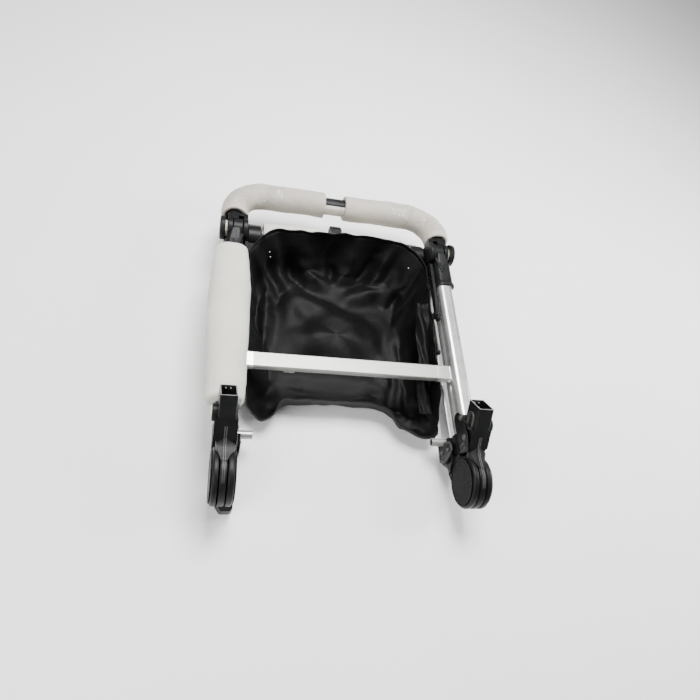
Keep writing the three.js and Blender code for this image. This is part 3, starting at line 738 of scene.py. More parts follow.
def socket_buttons():
    """The carrier's release: a round cream button in a dark collar on the outer side."""
    x = SIDE_X + SOCKET_WIDTH / 2
    high = sketch_box("socket_button_right")[1].x
    profile = [(x + 6.6, 0), (x + 6.6, 12.2)]
    profile += [(high - 1.6, 12.2), (high - 0.6, 11.7), (high, 10.2), (high, 0)]
    finger = [(high - 0.3, 5.5), (high + 0.4, 5.8), (high + 0.4, 7.4), (high - 0.3, 7.7)]
    button = [lathe(profile, BUTTON_CENTRE, steps=64, place=TILTED)]
    button.append(lathe(finger, BUTTON_CENTRE, place=TILTED))
    make_pair("carrier_button", button, "cream", "socket_button_{side}", ["socket_button"])
    ring = [(x - 0.5, 12.9), (x - 0.5, 15.6)]
    ring += [(x + 8.6, 15.6), (x + 9.8, 14.8), (x + 10.2, 13.4), (x + 10.2, 12.9)]
    make_pair("carrier_button_collar", [lathe(ring, BUTTON_CENTRE, place=TILTED)], "black", "upper_frame")


def carrier_hubs():
    parts = [leaf(CENTRE_LEAF), crown(), rim_wedge(), *sleeve(), *collar_cheek()]
    make_pair("carrier_hub", parts, "black", "upper_frame", ["upper_hub"])
    # The ribs, slot rings and rivets are drawn in a lighter grey: painted highlight.
    make_pair("hub_ribs", [*spine_ribs(), *oval_slot(), *cheek_fixings()], "painted_highlight", "upper_frame")
    make_pair("socket_lip", socket_lip(), "rim", "upper_frame")
    # A dark plate on the socket's floor and one in the slot: painted shade in the depths.
    bottom = (SOCKET_FLOOR + 0.4, SOCKET_FLOOR + 1.4)
    painted_well_shade = prism(socket_outline(SOCKET_WALL + 0.1, 1, 4), "z", bottom, 0.2, place=TILTED)
    make_pair("socket_well_painted_shade", [painted_well_shade, slot_shade()], "dark", "upper_frame")
    socket_buttons()


# ---------------------------------------------------------------- tubes and legs
def inward(outline, amount, centre):
    """The outline pulled in towards a centre by a wall thickness, for round-cornered sections."""
    a0, b0 = centre
    share_a = 1 - amount / (max(a for a, _ in outline) - a0)
    share_b = 1 - amount / (max(b for _, b in outline) - b0)
    return [(a0 + (a - a0) * share_a, b0 + (b - b0) * share_b) for a, b in outline]


def oval_tube(z, low, high):
    section = oval(z)
    return pipe(section, inward(section, TUBE_WALL, (SIDE_X, z)), "y", (low, high), 0.3)


def round_tube(radius, span, y, z, wall=TUBE_WALL):
    return pipe(circle(y, z, radius), circle(y, z, radius - wall), "x", span, 0.4)


def tubes():
    side = oval_tube(TUBE_Z, TUBE_LOW.y, TUBE_HIGH.y)
    make_pair("side_tube", [side], "tube", "upper_frame", ["upper_tube"], smooth_angle=50)
    rear = oval_tube(REAR_LEG_Z, REAR_LOW.y, REAR_HIGH.y)
    make_pair("rear_leg_tube", [rear], "tube", "rear_frame", ["rear_leg"], smooth_angle=50)
    section = rounded(*FRONT_LEG, *LEG_SIZE, 3, 6)
    leg = pipe(section, inward(section, TUBE_WALL, FRONT_LEG), "y", (LEG_LOW.y, LEG_HIGH.y), 0.3)
    make_pair("front_leg_tube", [leg], "tube", "front_frame", ["front_leg"], smooth_angle=50)
    low, high = sketch_box("front_cross_tube")
    cross = round_tube((high.z - low.z) / 2, (low.x, high.x), (low.y + high.y) / 2, (low.z + high.z) / 2)
    make("cross_tube", [cross], "bar", "front_frame", replaces=["front_cross_tube"])
    axle = round_tube(AXLE_RADIUS, (AXLE_LOW.x, AXLE_HIGH.x), AXLE_Y, AXLE_Z)
    make("axle_tube", [axle], "steel", "rear_frame", replaces=["rear_axle_tube"])


def spigots():
    """Bright stubs with a black plug in the open end and a small catch beneath."""
    low, high = sketch_box("spigot_right")
    y, z, radius = (low.y + high.y) / 2, (low.z + high.z) / 2, (high.z - low.z) / 2
    stub = round_tube(radius, (low.x, high.x), y, z, 1.2)
    make_pair("spigot_tube", [stub], "steel", "front_frame", ["spigot"])
    plug = rod(radius - 1.3, (low.x + 1.5, high.x), y, z, 0.6)
    top, bottom = z - radius - 0.2, z - radius - 4
    outline = [(y - 5, top), (y + 5, top), (y + 4, bottom), (y - 3, bottom)]
    catch = prism(outline, "x", (low.x + 3, high.x - 2), 0.8)
    make_pair("spigot_plug", [plug, catch], "black", "front_frame")


def crossbar():
    """The flat bar between the side tubes, with a ferrule and a saddle at each end."""
    low, high = BAR_LOW, BAR_HIGH
    centre = ((low.y + high.y) / 2, (low.z + high.z) / 2)
    section = rounded(*centre, high.y - low.y, high.z - low.z, 2.6, 6)
    bar = pipe(section, inward(section, TUBE_WALL, centre), "x", (low.x, high.x), 0.3)
    make("cross_bar", [bar], "bar", "upper_frame", replaces=["crossbar"], smooth_angle=50)
    low, high = sketch_box("crossbar_end_right")
    y = centre[0]
    outer = rounded(y, (low.z + high.z) / 2, high.y - low.y, high.z - low.z, 3.2, 6)
    shell = prism(outer, "x", (low.x - 9, high.x), 0.7)
    saddle = prism(oval(TUBE_Z, 0.9), "y", (y - 21, y + 21), 0.5)
    inner_part = box((high.x - 2, SIDE_X - TUBE_WIDTH / 2 + 5), (y - 30, y + 30), (0, 60), 0)
    trimmed = clip(saddle, inner_part, bevel=0.3)
    make_pair("crossbar_ferrule", [shell, trimmed], "ferrule", "upper_frame", ["crossbar_end"])
    crossbar_fixing()


def crossbar_fixing():
    """A small plate on the bar with two nuts on their washers."""
    low, high = sketch_box("crossbar_bolt")
    x, y = (low.x + high.x) / 2, (low.y + high.y) / 2
    parts = []
    for dx in (-4.5, 5):
        parts.append(prism(circle(x + dx, y - 2, 3.6, 6), "z", (low.z, high.z + 0.2), 0.5))
        parts.append(prism(circle(x + dx, y - 2, 5.2, 24), "z", (high.z - 1.2, high.z + 0.2), 0.2))
    parts.append(box((x - 10, x + 11), (y - 7, y + 4), (high.z - 0.9, high.z + 0.25), 0.3))
    make("crossbar_fixing", parts, "ferrule", "upper_frame", replaces=["crossbar_bolt"])


# ---------------------------------------------------------------- push handle and its hinges
def handle_hubs():
    """The upper half of each hinge: two cheeks, the web between them and the neck that takes the handle."""
    profile = arc(0, 0, JOINT_RADIUS, 52, 308, 56) + [(30, -19), (33, -16.5), (33, 16.5), (30, 19)]
    parts = [prism(profile, "x", span, 1.6, 3, HANDLE) for span in ((207, 217), (239, 249))]
    parts.append(box((212, 244), (24.5, 33), (-18.5, 18.5), 1.4, HANDLE))
    neck = [(32, 0), (32, 18.3), (40, 18), (44, 15), (46, 12.8), (46, 0)]
    parts.append(lathe(neck, (SIDE_X, 0), "y", place=HANDLE))
    for x in (SIDE_X - 13, SIDE_X + 11):
        parts.append(box((x, x + 2), (27, 33.8), (-16, 16), 0.5, HANDLE))
    parts.append(box((SIDE_X - 8, SIDE_X + 8), (12, 33.4), (16.5, 20.2), 1.0, HANDLE))
    make_pair("handle_clevis", parts, "black", "handle", ["handle_hub"])
    # Dark plates on the cheeks stand for the slots: painted shade.
    slot = rounded(6, 8, 4.2, 13, 2, 6)
    clevis_slot_shades = [prism(slot, "x", (x, x + 0.8), 0.1, place=HANDLE) for x in (206.6, 248.6)]
    make_pair("clevis_slot_painted_shade", clevis_slot_shades, "dark", "handle")
    hinge_buttons()


def hinge_buttons():
    """The outer push disc, hollow behind so that it closes over the cream ring when pressed."""
    disc = [(258.6, 0), (258.6, 17), (254.3, 17.4), (254.3, 24), (255.5, 25), (262.5, 25)]
    disc += [(264.2, 24.2), (265, 22), (265, 18.5), (264, 17.5), (264, 0)]
    stem = rod(4, (across("handle_button_right")[0], 260), 0, 0, 0.4, 32, HANDLE)
    turns = (math.radians(60 * i) for i in range(6))
    bumps = [dome(1.6, 0.9, HANDLE @ Vector((264, 14 * math.cos(t), 14 * math.sin(t))), (1, 0, 0), 12)
             for t in turns]
    parts = [lathe(disc, (0, 0), place=HANDLE), stem, *bumps]
    make_pair("hinge_button", parts, "black", "handle_button_{side}", ["handle_button"])
    ring = [(249.3, 6), (249.3, 15.5), (250, 16.2), (253.4, 16.2), (254, 15.5), (254, 6)]
    make_pair("hinge_ring", [lathe(ring, (0, 0), place=HANDLE)], "cream", "handle", ["handle_ring"])


def handle_bases():
    """The lower half: a flared collar on the side tube that tapers into the hinge's tongue."""
    stations = [(440, 44, 30.5, 14.5), (441, 45.4, 32, 15.5), (445.5, 45.4, 32, 15.5), (447, 42.4, 30, 14),
                (452, 41, 29, 13.5), (480, 40.4, 30, 13.5), (497, 37.5, 33, 12), (507, 31, 36, 9),
                (515, 24.5, 38.5, 6), (521, 20.4, 40, 5)]
    rings = []
    for y, width, height, radius in stations:
        x, z = SIDE_X - (41 - width) * 0.17, TUBE_Z + (y > 480) * (y - 480) * 0.06
        rings.append([(a, y, b) for a, b in rounded(x, z, width, height, radius, 10)])
    parts = [loft(rings), rod(JOINT_RADIUS - 2, (218, 238), JOINT.y, JOINT.z, 1.4, 72)]
    middle = SIDE_X - 4.4
    ridge = [(452, 34), (452, 37.2), (480, 38.0), (500, 40.2), (512, 43.2), (518, 43.6), (518, 40)]
    parts.append(prism(ridge, "x", (middle - 1, middle + 1), 0.6))
    for sign in (-1, 1):
        facet = [(middle + sign * a, y) for a, y in ((2, 470), (15, 508), (10, 514), (2, 512))]
        parts.append(prism(facet, "z", (34, 39.4), 0.8))
    for y in (455, 471):
        parts.append(dome(3.2, 2.0, (SIDE_X - 14, y, TUBE_Z + 12.4), (-0.55, 0, 0.83), 24))
    make_pair("hinge_base", parts, "black", "upper_frame", ["handle_base"], smooth_angle=38)


def release_links():
    """The sliding link beside each side tube, and the rod that it pulls."""
    low, high = sketch_box("release_link_right")
    pivot = (358, 21.5)
    bar = [(358, 14), (497, 14), (504, 18), (504, 25), (498, 30), (420, 30), (380, 27)]
    holes = [prism(circle(y, 22, 3.2, 24), "x", (200, 215)) for y in (444, 456, 468)]
    parts = [cut(prism(bar, "x", (low.x, high.x), 0), *holes, bevel=0.8)]
    parts.append(rod(8.5, (low.x, high.x), *pivot, 1.6, 40))
    parts.append(dome(3.6, 2.2, ((low.x + high.x) / 2, 486, 30), (0, 0, 1), 24))
    parts.append(rod(4.0, (low.x - 1.6, high.x + 0.6), *pivot, 0.6, 24))
    make_pair("release_bar", parts, "black", "release_{side}", ["release_link"])
    start = sketch_box("release_rod_right")[0].y + 3
    shaft = prism(circle(207, 0, 2.5, 24), "y", (start, 372), 0.5)
    make_pair("release_wire", [shaft], "black", "release_{side}", ["release_rod"])
    eye = rod(5.5, (203, 211), 283, 0, 1.4, 32)
    fork = box((204, 210.5), (366, 378), (-5, 12.6), 1.4)
    pin = rod(2.4, (202, 212), 283, 0, 0.5, 20)
    make_pair("release_eye", [eye, fork, pin], "black", "release_{side}")


def bar_path(start, end, step=4.0):
    """Points and directions of the handle's centre line, from the hinge round the bend, drawn flat."""
    bend_start, bend_end = HANDLE_REACH - HANDLE_BEND, SIDE_X - HANDLE_BEND
    corner = 0.45 * HANDLE_BEND
    knots = [Vector(p) for p in ((SIDE_X, bend_start), (SIDE_X, HANDLE_REACH - corner),
                                 (SIDE_X - corner, HANDLE_REACH), (bend_end, HANDLE_REACH))]
    points = []
    straight = max(1, round((bend_start - start) / step))
    points += [Vector((SIDE_X, start + (bend_start - start) * i / straight)) for i in range(straight)]
    for i in range(27):
        t = i / 27
        a, b, c, d = ((1 - t) ** 3, 3 * (1 - t) ** 2 * t, 3 * (1 - t) * t * t, t ** 3)
        points.append(a * knots[0] + b * knots[1] + c * knots[2] + d * knots[3])
    run = max(1, round((bend_end - end) / step))
    points += [Vector((bend_end + (end - bend_end) * i / run, HANDLE_REACH)) for i in range(run + 1)]
    directions = [(points[min(i + 1, len(points) - 1)] - points[max(i - 1, 0)]).normalized()
                  for i in range(len(points))]
    return points, directions


def lumps(point, seed, amounts):
    """Soft unevenness: each amount is (size across in mm, height in mm)."""
    total = 0.0
    for size, height in amounts:
        total += height * noise.noise(Vector(point) / size + Vector((seed, 2.3 * seed, 0)))
    return total


def bar_ring(centre, direction, radius, sides, seed, amounts, start=0.0, end=2 * math.pi, ridge=0.0):
    """One ring round the handle's centre line; the first angle points away from the hub side."""
    outward = Vector((direction.y, -direction.x))
    points = []
    for i in range(sides):
        turn = start + (end - start) * i / sides
        side_ways, up = math.cos(turn), math.sin(turn)
        flat = centre + outward * side_ways * radius
        raw = Vector((flat.x, flat.y, up * radius))
        grow = lumps(raw, seed, amounts) + ridge * max(0.0, -side_ways) ** 2
        flat = centre + outward * side_ways * (radius + grow)
        points.append(HANDLE @ Vector((flat.x, flat.y, up * (radius + grow))))
    return points


def handle_foam_rings(centres, directions, sign):
    """Rings along the foam, creased round the bend, and back through its bore."""
    count = len(centres)
    profile = [(0, -4.5), (0, -1.2), *[(i, 0) for i in range(1, count - 1)]]
    profile += [(count - 1, -0.8), (count - 1, -3.6)]
    rings = []
    for index, inset in profile:
        bend = math.sin(math.pi * min(1, max(0, (index - 4) / 27)))
        ridge = -1.3 * bend * (0.5 + 0.5 * math.cos(index * 2.1))
        radius = HANDLE_FOAM_RADIUS - 0.6 + inset
        if index == 0:
            radius -= 0.8
        rings.append(bar_ring(centres[index], directions[index], radius, 64, 3.1 * sign,
                              ((60, 2.2), (16, 0.7), (5, 0.25)), ridge=ridge))
    bore = GRIP_RADIUS + 0.7
    rings += [bar_ring(centres[i], directions[i], bore, 64, 0, ()) for i in range(count - 1, -1, -3)]
    return rings


def handle_foams():
    """The packing foam on each half of the push handle, with film wound over it."""
    for side, sign in SIDES.items():
        end = HANDLE_GAP[1] if sign > 0 else -HANDLE_GAP[0]
        centres, directions = bar_path(38, end)
        bm = closed_loft(handle_foam_rings(centres, directions, sign))
        foam = make(f"handle_sleeve_{side}", [bm], "wrapped_foam", "handle", sign,
                    [f"handle_foam_{side}"], smooth_angle=60, weighted=False)
        film_patches(side, sign, centres, directions)


def film_patches(side, sign, centres, directions):
    """Crinkled clear film on the foam: one patch on the bend and one on the straight run."""
    radius = HANDLE_FOAM_RADIUS + 0.3
    crinkles = ((60, 2.2), (16, 0.7), (9, 1.1), (4, 0.9), (2, 0.3))
    start, end = math.radians(-25), math.radians(165)
    for part, (first, last) in {"bend": (3, 17), "run": (26, 41)}.items():
        rings = []
        for i in range(2 * first, 2 * last):
            k, share = i // 2, (i % 2) / 2
            centre = centres[k].lerp(centres[k + 1], share)
            direction = directions[k].lerp(directions[k + 1], share).normalized()
            rings.append(bar_ring(centre, direction, radius, 90, 3.1 * sign, crinkles, start, end))
        film = make(f"clear_film_{part}_{side}", [loft(rings, False, False)], "film", "handle", sign,
                    smooth_angle=80, weighted=False)


def grip():
    """The grip's glossy shell, with a stitched cream strip over its near side and underside."""
    section = [(HANDLE_REACH + y, z) for y, z in circle(0, 0, GRIP_RADIUS, 96)]
    bore = [(HANDLE_REACH + (y - HANDLE_REACH) * 0.7, z * 0.7) for y, z in section]
    shell = pipe(section, bore, "x", across("handle_grip"), 0.6, HANDLE)
    make("grip_shell", [shell], "grip", "handle", replaces=["handle_grip"])
    bare = (HANDLE_GAP[0] - 6, HANDLE_GAP[1] + 6)
    start, end = 138, 292
    outline = arc(HANDLE_REACH, 0, GRIP_RADIUS + 0.8, start, end, 40)
    outline += arc(HANDLE_REACH, 0, GRIP_RADIUS - 0.4, end, start, 40)
    strip = prism(outline, "x", bare, 0.3, place=HANDLE)
    make("grip_strip", [strip, *grip_stitches(bare)], "leather", "handle")


def grip_stitches(span):
    """Two rows of stitches along the strip, slanting opposite ways."""
    pitch, reach = 4.6, GRIP_RADIUS + 0.9
    stitches = []
    for angle, slant in ((158, -35), (194, 35)):
        turn = math.radians(angle)
        lean = Matrix.Rotation(math.radians(slant), 4, "Z")
        face = Matrix.Rotation(turn - math.pi / 2, 4, "X")
        y, z = HANDLE_REACH + reach * math.cos(turn), reach * math.sin(turn)
        for i in range(int((span[1] - span[0]) / pitch)):
            stitch = box((-1.7, 1.7), (-0.55, 0.55), (-0.3, 0.5), 0.25)
            at = Vector((span[0] + pitch * (i + 0.5), y, z))
            stitch.transform(HANDLE @ Matrix.Translation(at) @ face @ lean)
            stitches.append(stitch)
    return stitches


# ---------------------------------------------------------------- foam on the side tube and the rear axle
def side_foam():
    """The packing foam on the left side tube, flat beneath and nipped in at its ends."""
    low, high = sketch_box("tube_foam_left")
    # Each station is (share of the length, width, height of the top).
    stations = [(0.0, 62, 52.5), (0.006, 66, 55), (0.014, 69.5, 56.8), (0.12, 73, 59), (0.22, 74, 60),
                (0.42, 81, 61.5), (0.68, 82, 62), (0.87, 75, 59), (0.955, 70, 57.2), (0.985, 67, 55.5),
                (0.995, 63, 53.5), (1.0, 58, 51)]
    shares = sorted([i / 72 for i in range(73)] + [0.004, 0.01, 0.99, 0.996])
    rings = [foam_ring(low.y + (high.y - low.y) * share, *between(stations, share), low.z, 30)
             for share in shares]
    foam = make("side_tube_sleeve", [loft(rings)], "foam", "upper_frame", -1, ["tube_foam_left"],
                smooth_angle=60, weighted=False)


def between(stations, share):
    """Width and height at a share of the way along, eased between the stations."""
    for (a, *one), (b, *two) in zip(stations, stations[1:]):
        if share <= b:
            t = (share - a) / (b - a)
            t = t * t * (3 - 2 * t) if b - a > 0.05 else t
            return [p + (q - p) * t for p, q in zip(one, two)]
    return stations[-1][1:]


def foam_ring(y, width, top, bottom, middle, count=88):
    """One ring of the side tube's foam, rounded above the middle and squarer below it."""
    ring = []
    for i in range(count):
        turn = -2 * math.pi * i / count
        c, s = math.cos(turn), math.sin(turn)
        reach = top - middle if s > 0 else middle - bottom
        x = SIDE_X + 3 + width / 2 * math.copysign(abs(c) ** 0.8, c)
        z = middle + reach * math.copysign(abs(s) ** (0.85 if s > 0 else 0.5), s)
        grow = lumps((x, y, z), 7.7, ((70, 2.0), (18, 0.6), (5, 0.25))) if s > -0.2 else 0
        ring.append(Vector((x + grow * c, y, z + grow * max(s, 0))))
    return ring


def axle_ring(x, inset):
    """One ring of the axle's foam, swollen on its upper far side beside the pedal."""
    radius = (FOAM_HIGH.z - FOAM_LOW.z) / 2 - 1.5 - inset
    arch = math.exp(-((abs(x) - 34) / 42) ** 2)
    ring = []
    for t in range(64):
        turn = 2 * math.pi * t / 64
        y, z = math.cos(turn), math.sin(turn)
        r = radius + lumps((x, 40 * y, 40 * z), 9.1, ((50, 2.4), (14, 0.6), (5, 0.25)))
        r += 5.5 * arch * max(0.0, 0.6 * z + 0.6 * y)
        ring.append(Vector((x, AXLE_Y + r * y, AXLE_Z + r * z)))
    return ring


def axle_sleeve():
    """The rear axle's foam sleeve, in two halves that swell up beside the brake pedal."""
    notch, count = 20, 44
    for name, (start, end) in {"left": (FOAM_LOW.x, -notch), "right": (notch, FOAM_HIGH.x)}.items():
        rings = [axle_ring(start + (end - start) * i / count, 1.5 if i in (0, count) else 0)
                 for i in range(count + 1)]
        nodes = ["rear_axle_foam"] if name == "left" else []
        foam = make(f"axle_sleeve_{name}", [loft(rings)], "foam", "rear_frame", replaces=nodes,
                    smooth_angle=60, weighted=False)


def rear_axle_parts():
    """The housing at each end of the rear axle, and the brake pin in it."""
    start, end = across("axle_housing_right")
    near, far = start, start + 32
    pin_centre = (544, -17)
    section = rounded(SIDE_X - 0.5, REAR_LEG_Z, 39, 24.4, 9)
    hollow = inward(section, 2.6, (SIDE_X - 0.5, REAR_LEG_Z))
    parts = [pipe(section, hollow, "y", (458, 500), 0.4), prism(section, "y", (499, 504), 0.8)]
    wheel_bore = rod(7, (228, 270), 522, -17, 0.01)
    pin_bore = rod(4.5, (206, 270), *pin_centre, 0.01)
    bridge = prism([(500, -28), (500, -3), (549, -3), (556, -9), (556, -28)], "x", (near + 18, end), 0)
    parts.append(cut(bridge, wheel_bore, pin_bore, bevel=1.2))
    rim = [(near, 0), (near, 18), (near + 1, 19.5), (near + 3, 25), (near + 5, 27)]
    rim += [(far - 2, 27), (far, 25.2), (far, 0)]
    parts.append(lathe(rim, (548, -14), steps=96))
    boss = [(near, 0), (near, 20.4), (near + 1.6, 22), (far - 1.6, 22), (far, 20.4), (far, 0)]
    parts.append(lathe(boss, (AXLE_Y, AXLE_Z), steps=96))
    neck = [(545, -46), (545, -12), (562, 4), (580, -18), (599, -33), (575, -58)]
    parts.append(prism(neck, "x", (near + 1, far - 1), 1.5))
    for t in (40, 160, 280):
        y, z = 548 + 18 * math.cos(math.radians(t)), -14 + 18 * math.sin(math.radians(t))
        parts.append(dome(2.8, 1.6, (near + 2.2, y, z), (-1, 0, 0), 20))
    make_pair("axle_housing_shell", parts, "black", "rear_frame", ["axle_housing"])
    pin = rod(4, across("brake_pin_right"), *pin_centre, 1.0, 40)
    make_pair("brake_pin_rod", [pin], "steel", "brake_pin_{side}", ["brake_pin"])


def brake_pedal():
    """The foot pedal: a ring round the axle and a rounded paddle with four treads."""
    low, high = across("brake_pedal")
    bore, outside = AXLE_RADIUS + 0.6, AXLE_RADIUS + 5
    ring = pipe(circle(AXLE_Y, AXLE_Z, outside), circle(AXLE_Y, AXLE_Z, bore), "x", (low, high), 0.8)
    outline = [(578, -26), (584, -19), (594, -14.2), (606, -13.4), (616, -18), (622.4, -26), (623.4, -31)]
    outline += [(620, -33), (612, -31), (592, -36)]
    middle, half = (low + high) / 2, (high - low) / 2
    turns = (math.pi * i / 16 for i in range(17))
    plan = [(low, 570), (high, 570)]
    plan += [(middle + half * math.cos(t), 604 + 20 * math.sin(t)) for t in turns]
    paddle = clip(prism(outline, "x", (low, high)), prism(plan, "z", (-60, 0)), bevel=1.6)
    treads = [box((low + 4, high - 4), (y, y + 1.6), (-16, -12.6), 0.5)
              for y in (594, 598.5, 603, 607.5)]
    make("pedal", [ring, paddle, *treads], "black", "brake_pedal", replaces=["brake_pedal"])


def caster_sockets():
    """The moulded holder at the far end of each front leg, open below for a caster's stem."""
    x, z = FRONT_LEG[0], -60.5
    stem = rod(8, (570, 600), 0, 0, 0.01)
    stem.transform(Matrix.Translation(Vector((x, 0, -60))) @ Matrix.Rotation(math.radians(90), 4, "Z"))
    body = prism(rounded(x, z, 32, 63, 6), "y", (548, 594))
    parts = [cut(body, stem, leg_socket((540, LEG_HIGH.y + 0.3)), bevel=1.2)]
    for y in (556, 570, 584):
        for side in (-1, 1):
            parts.append(box((x + side * 16 - 0.8, x + side * 16 + 0.8), (y, y + 2), (-86, -35), 0.4))
    parts.append(dome(3.4, 2, (x - 16, 563, -52), (-1, 0, 0)))
    make_pair("caster_holder", parts, "black", "front_frame", ["caster_socket"])


def fold_block():
    """The low stop on the inner side of the left hub."""
    side = [(-44.5, -57), (-44.5, -79), (-35, FLOOR_Z), (-4, FLOOR_Z), (-4, -50), (-30, -38)]
    section = [(211, -30), (210, -80), (213, FLOOR_Z), (226, FLOOR_Z), (236, -79), (246, -60), (246, -30)]
    blank = clip(prism(side, "x", (205, 260)), prism(section, "y", (-60, 0)))
    outline = [(60, -80), (40, -81), (18, -71.5), (0, -71.5), (-16.3, -63.5), (-36.5, -47.5)]
    outline += [(-46.5, -22), (0, -10), (40, -25)]
    casing = prism(outline, "x", (CENTRE_LEAF[0] - 1.5, 270))
    plan = [(205, 10), (205, -34), (215, -46), (229, -46), (247, -29), (247, 10)]
    blank = clip(blank, prism(plan, "z", (FLOOR_Z - 5, 0)))
    shaped = cut(blank, rod(HUB_CLEARANCE, (200, 260), 0, 0, 0.01, 128), casing, bevel=1.2)
    make("fold_block_left", [shaped], "black", "front_frame", -1, ["hub_foot_left"])


# ---------------------------------------------------------------- fabric basket
# The hem from the right-hand side round the far arch to the left and back along the near edge.
HEM = [(199, 360, 8), (200, 430, 12), (200, 492, 14), (187, 522, 16), (155, 547, 19), (97, 560, 20),
       (43, 560, 20), (-14, 556, 20), (-81, 552, 20), (-135, 547, 20), (-164, 532, 20), (-188, 506, 18),
       (-200, 480, 14), (-200, 430, 12), (-200, 360, 10), (-199, 300, 6), (-199, 245, -3),
       (-199, 205, -8), (-195, 172, -34), (-181, 146, -50), (-157, 132, -54), (-137, 144, -52),
       (-131, 166, -44), (-110, 172, -38), (-40, 172, -37), (40, 171, -37), (92, 163, -40),
       (110, 147, -46), (124, 128, -50), (148, 121, -52), (178, 108, -52), (200, 120, -48),
       (205, 160, -38), (204, 205, -12), (201, 245, -6), (199, 300, 2)]
# The flat base: its middle, half its width and length, and how square its corners are.
BASE_HEIGHT, BASE_CENTRE = -74, (0, 346)
BASE_MIDDLE = Vector((*BASE_CENTRE, BASE_HEIGHT))
BASE_HALF = (165, 175)
BASE_SQUARENESS = 4.6
# Folds as (height, width, line): each line is raised, or pressed in where the height is negative.
FOLDS = [
    (15, 36, [(-104, 336), (-40, 342), (40, 346), (112, 340)]),
    (-8, 14, [(-120, 282), (-20, 292), (110, 288)]),
    (14, 24, [(-110, 360), (-104, 410), (-92, 452), (-40, 432), (20, 406), (86, 376)]),
    (-13, 10, [(-70, 476), (-10, 448), (50, 416), (108, 386)]),
    (-9, 13, [(-112, 486), (-124, 440), (-130, 390)]),
    (19, 18, [(166, 508), (120, 484), (60, 468), (20, 452)]),
    (-20, 13, [(160, 478), (146, 436), (148, 392)]),
    (-9, 12, [(130, 450), (80, 436), (30, 428)]),
    (12, 10, [(178, 506), (176, 460), (172, 420)]),
    (-9, 8, [(160, 400), (156, 350), (160, 300), (162, 250)]),
    (11, 8, [(150, 372), (136, 346), (140, 318), (152, 296)]),
    (-8, 6, [(128, 372), (116, 344), (124, 312)]),
    (9, 7, [(120, 308), (110, 272), (120, 236)]),
    (8, 7, [(150, 290), (146, 250), (140, 205), (134, 160)]),
    (-9, 7, [(132, 290), (128, 240), (118, 180)]),
    (19, 14, [(-164, 470), (-150, 420), (-152, 370), (-164, 310), (-172, 260), (-168, 220)]),
    (-12, 9, [(-136, 450), (-130, 392), (-140, 340), (-150, 270), (-148, 200)]),
    (-8, 8, [(-184, 460), (-178, 400), (-182, 330)]),
    (22, 14, [(-84, 548), (-70, 522), (-40, 500), (-10, 490)]),
    (-16, 12, [(-112, 540), (-96, 512), (-60, 488)]),
    (20, 14, [(52, 560), (34, 530), (4, 506)]),
    (-14, 13, [(-20, 552), (-8, 528), (10, 514)]),
    (20, 13, [(124, 556), (122, 530), (96, 508)]),
    (-14, 12, [(88, 558), (82, 530), (60, 512)]),
    (14, 10, [(-150, 540), (-138, 512), (-120, 492)]),
    (-12, 8, [(-164, 522), (-150, 498), (-134, 478)]),
    (12, 9, [(-190, 496), (-172, 480), (-150, 462)]),
    (7, 12, [(-118, 256), (-60, 240), (20, 244), (100, 234)]),
    (6, 9, [(-100, 214), (0, 204), (90, 208)]),
    (-7, 8, [(-110, 228), (0, 220), (100, 220)]),
    (10, 11, [(-150, 236), (-140, 200), (-140, 168)]),
    (12, 10, [(112, 176), (136, 160), (160, 150)]),
    (-9, 8, [(120, 150), (150, 138), (180, 134)]),
    (11, 9, [(186, 220), (182, 180), (186, 140)]),
]
# Where the loose corners spill past the near edge: centre, reach and push.
SPILLS = [((-158, 150), 30, (0, -8, 0)), ((130, 140), 10, (-4, -7, 0)), ((158, 128), 12, (2, -9, 0)),
          ((190, 130), 16, (3, -6, 0)), ((110, 156), 9, (-6, -2, 0))]


def smooth_loop(knots, count):
    """Evenly spaced points on a smooth closed line through the knots."""
    fine, total = [], len(knots)
    for i in range(total):
        a, b, c, d = (Vector(knots[(i + k) % total]) for k in (-1, 0, 1, 2))
        for k in range(12):
            t = k / 12
            fine.append(0.5 * (2 * b + (c - a) * t + (2 * a - 5 * b + 4 * c - d) * t * t
                               + (3 * b - a - 3 * c + d) * t ** 3))
    return even_points(fine + [fine[0]], count)


def even_points(line, count):
    """Points at equal steps along a line of points."""
    lengths = [0.0]
    for a, b in zip(line, line[1:]):
        lengths.append(lengths[-1] + (b - a).length)
    points, k = [], 0
    for i in range(count):
        at = lengths[-1] * i / count
        while lengths[k + 1] < at:
            k += 1
        points.append(line[k].lerp(line[k + 1], (at - lengths[k]) / (lengths[k + 1] - lengths[k])))
    return points


def line_distance(x, y, line):
    """How far a point is from a line in plan, and how far along the line, from 0 to 1."""
    best, along = 1e9, 0.0
    for i, ((ax, ay), (bx, by)) in enumerate(zip(line, line[1:])):
        dx, dy = bx - ax, by - ay
        t = min(1.0, max(0.0, ((x - ax) * dx + (y - ay) * dy) / (dx * dx + dy * dy)))
        far = math.hypot(x - ax - t * dx, y - ay - t * dy)
        if far < best:
            best, along = far, (i + t) / (len(line) - 1)
    return best, along


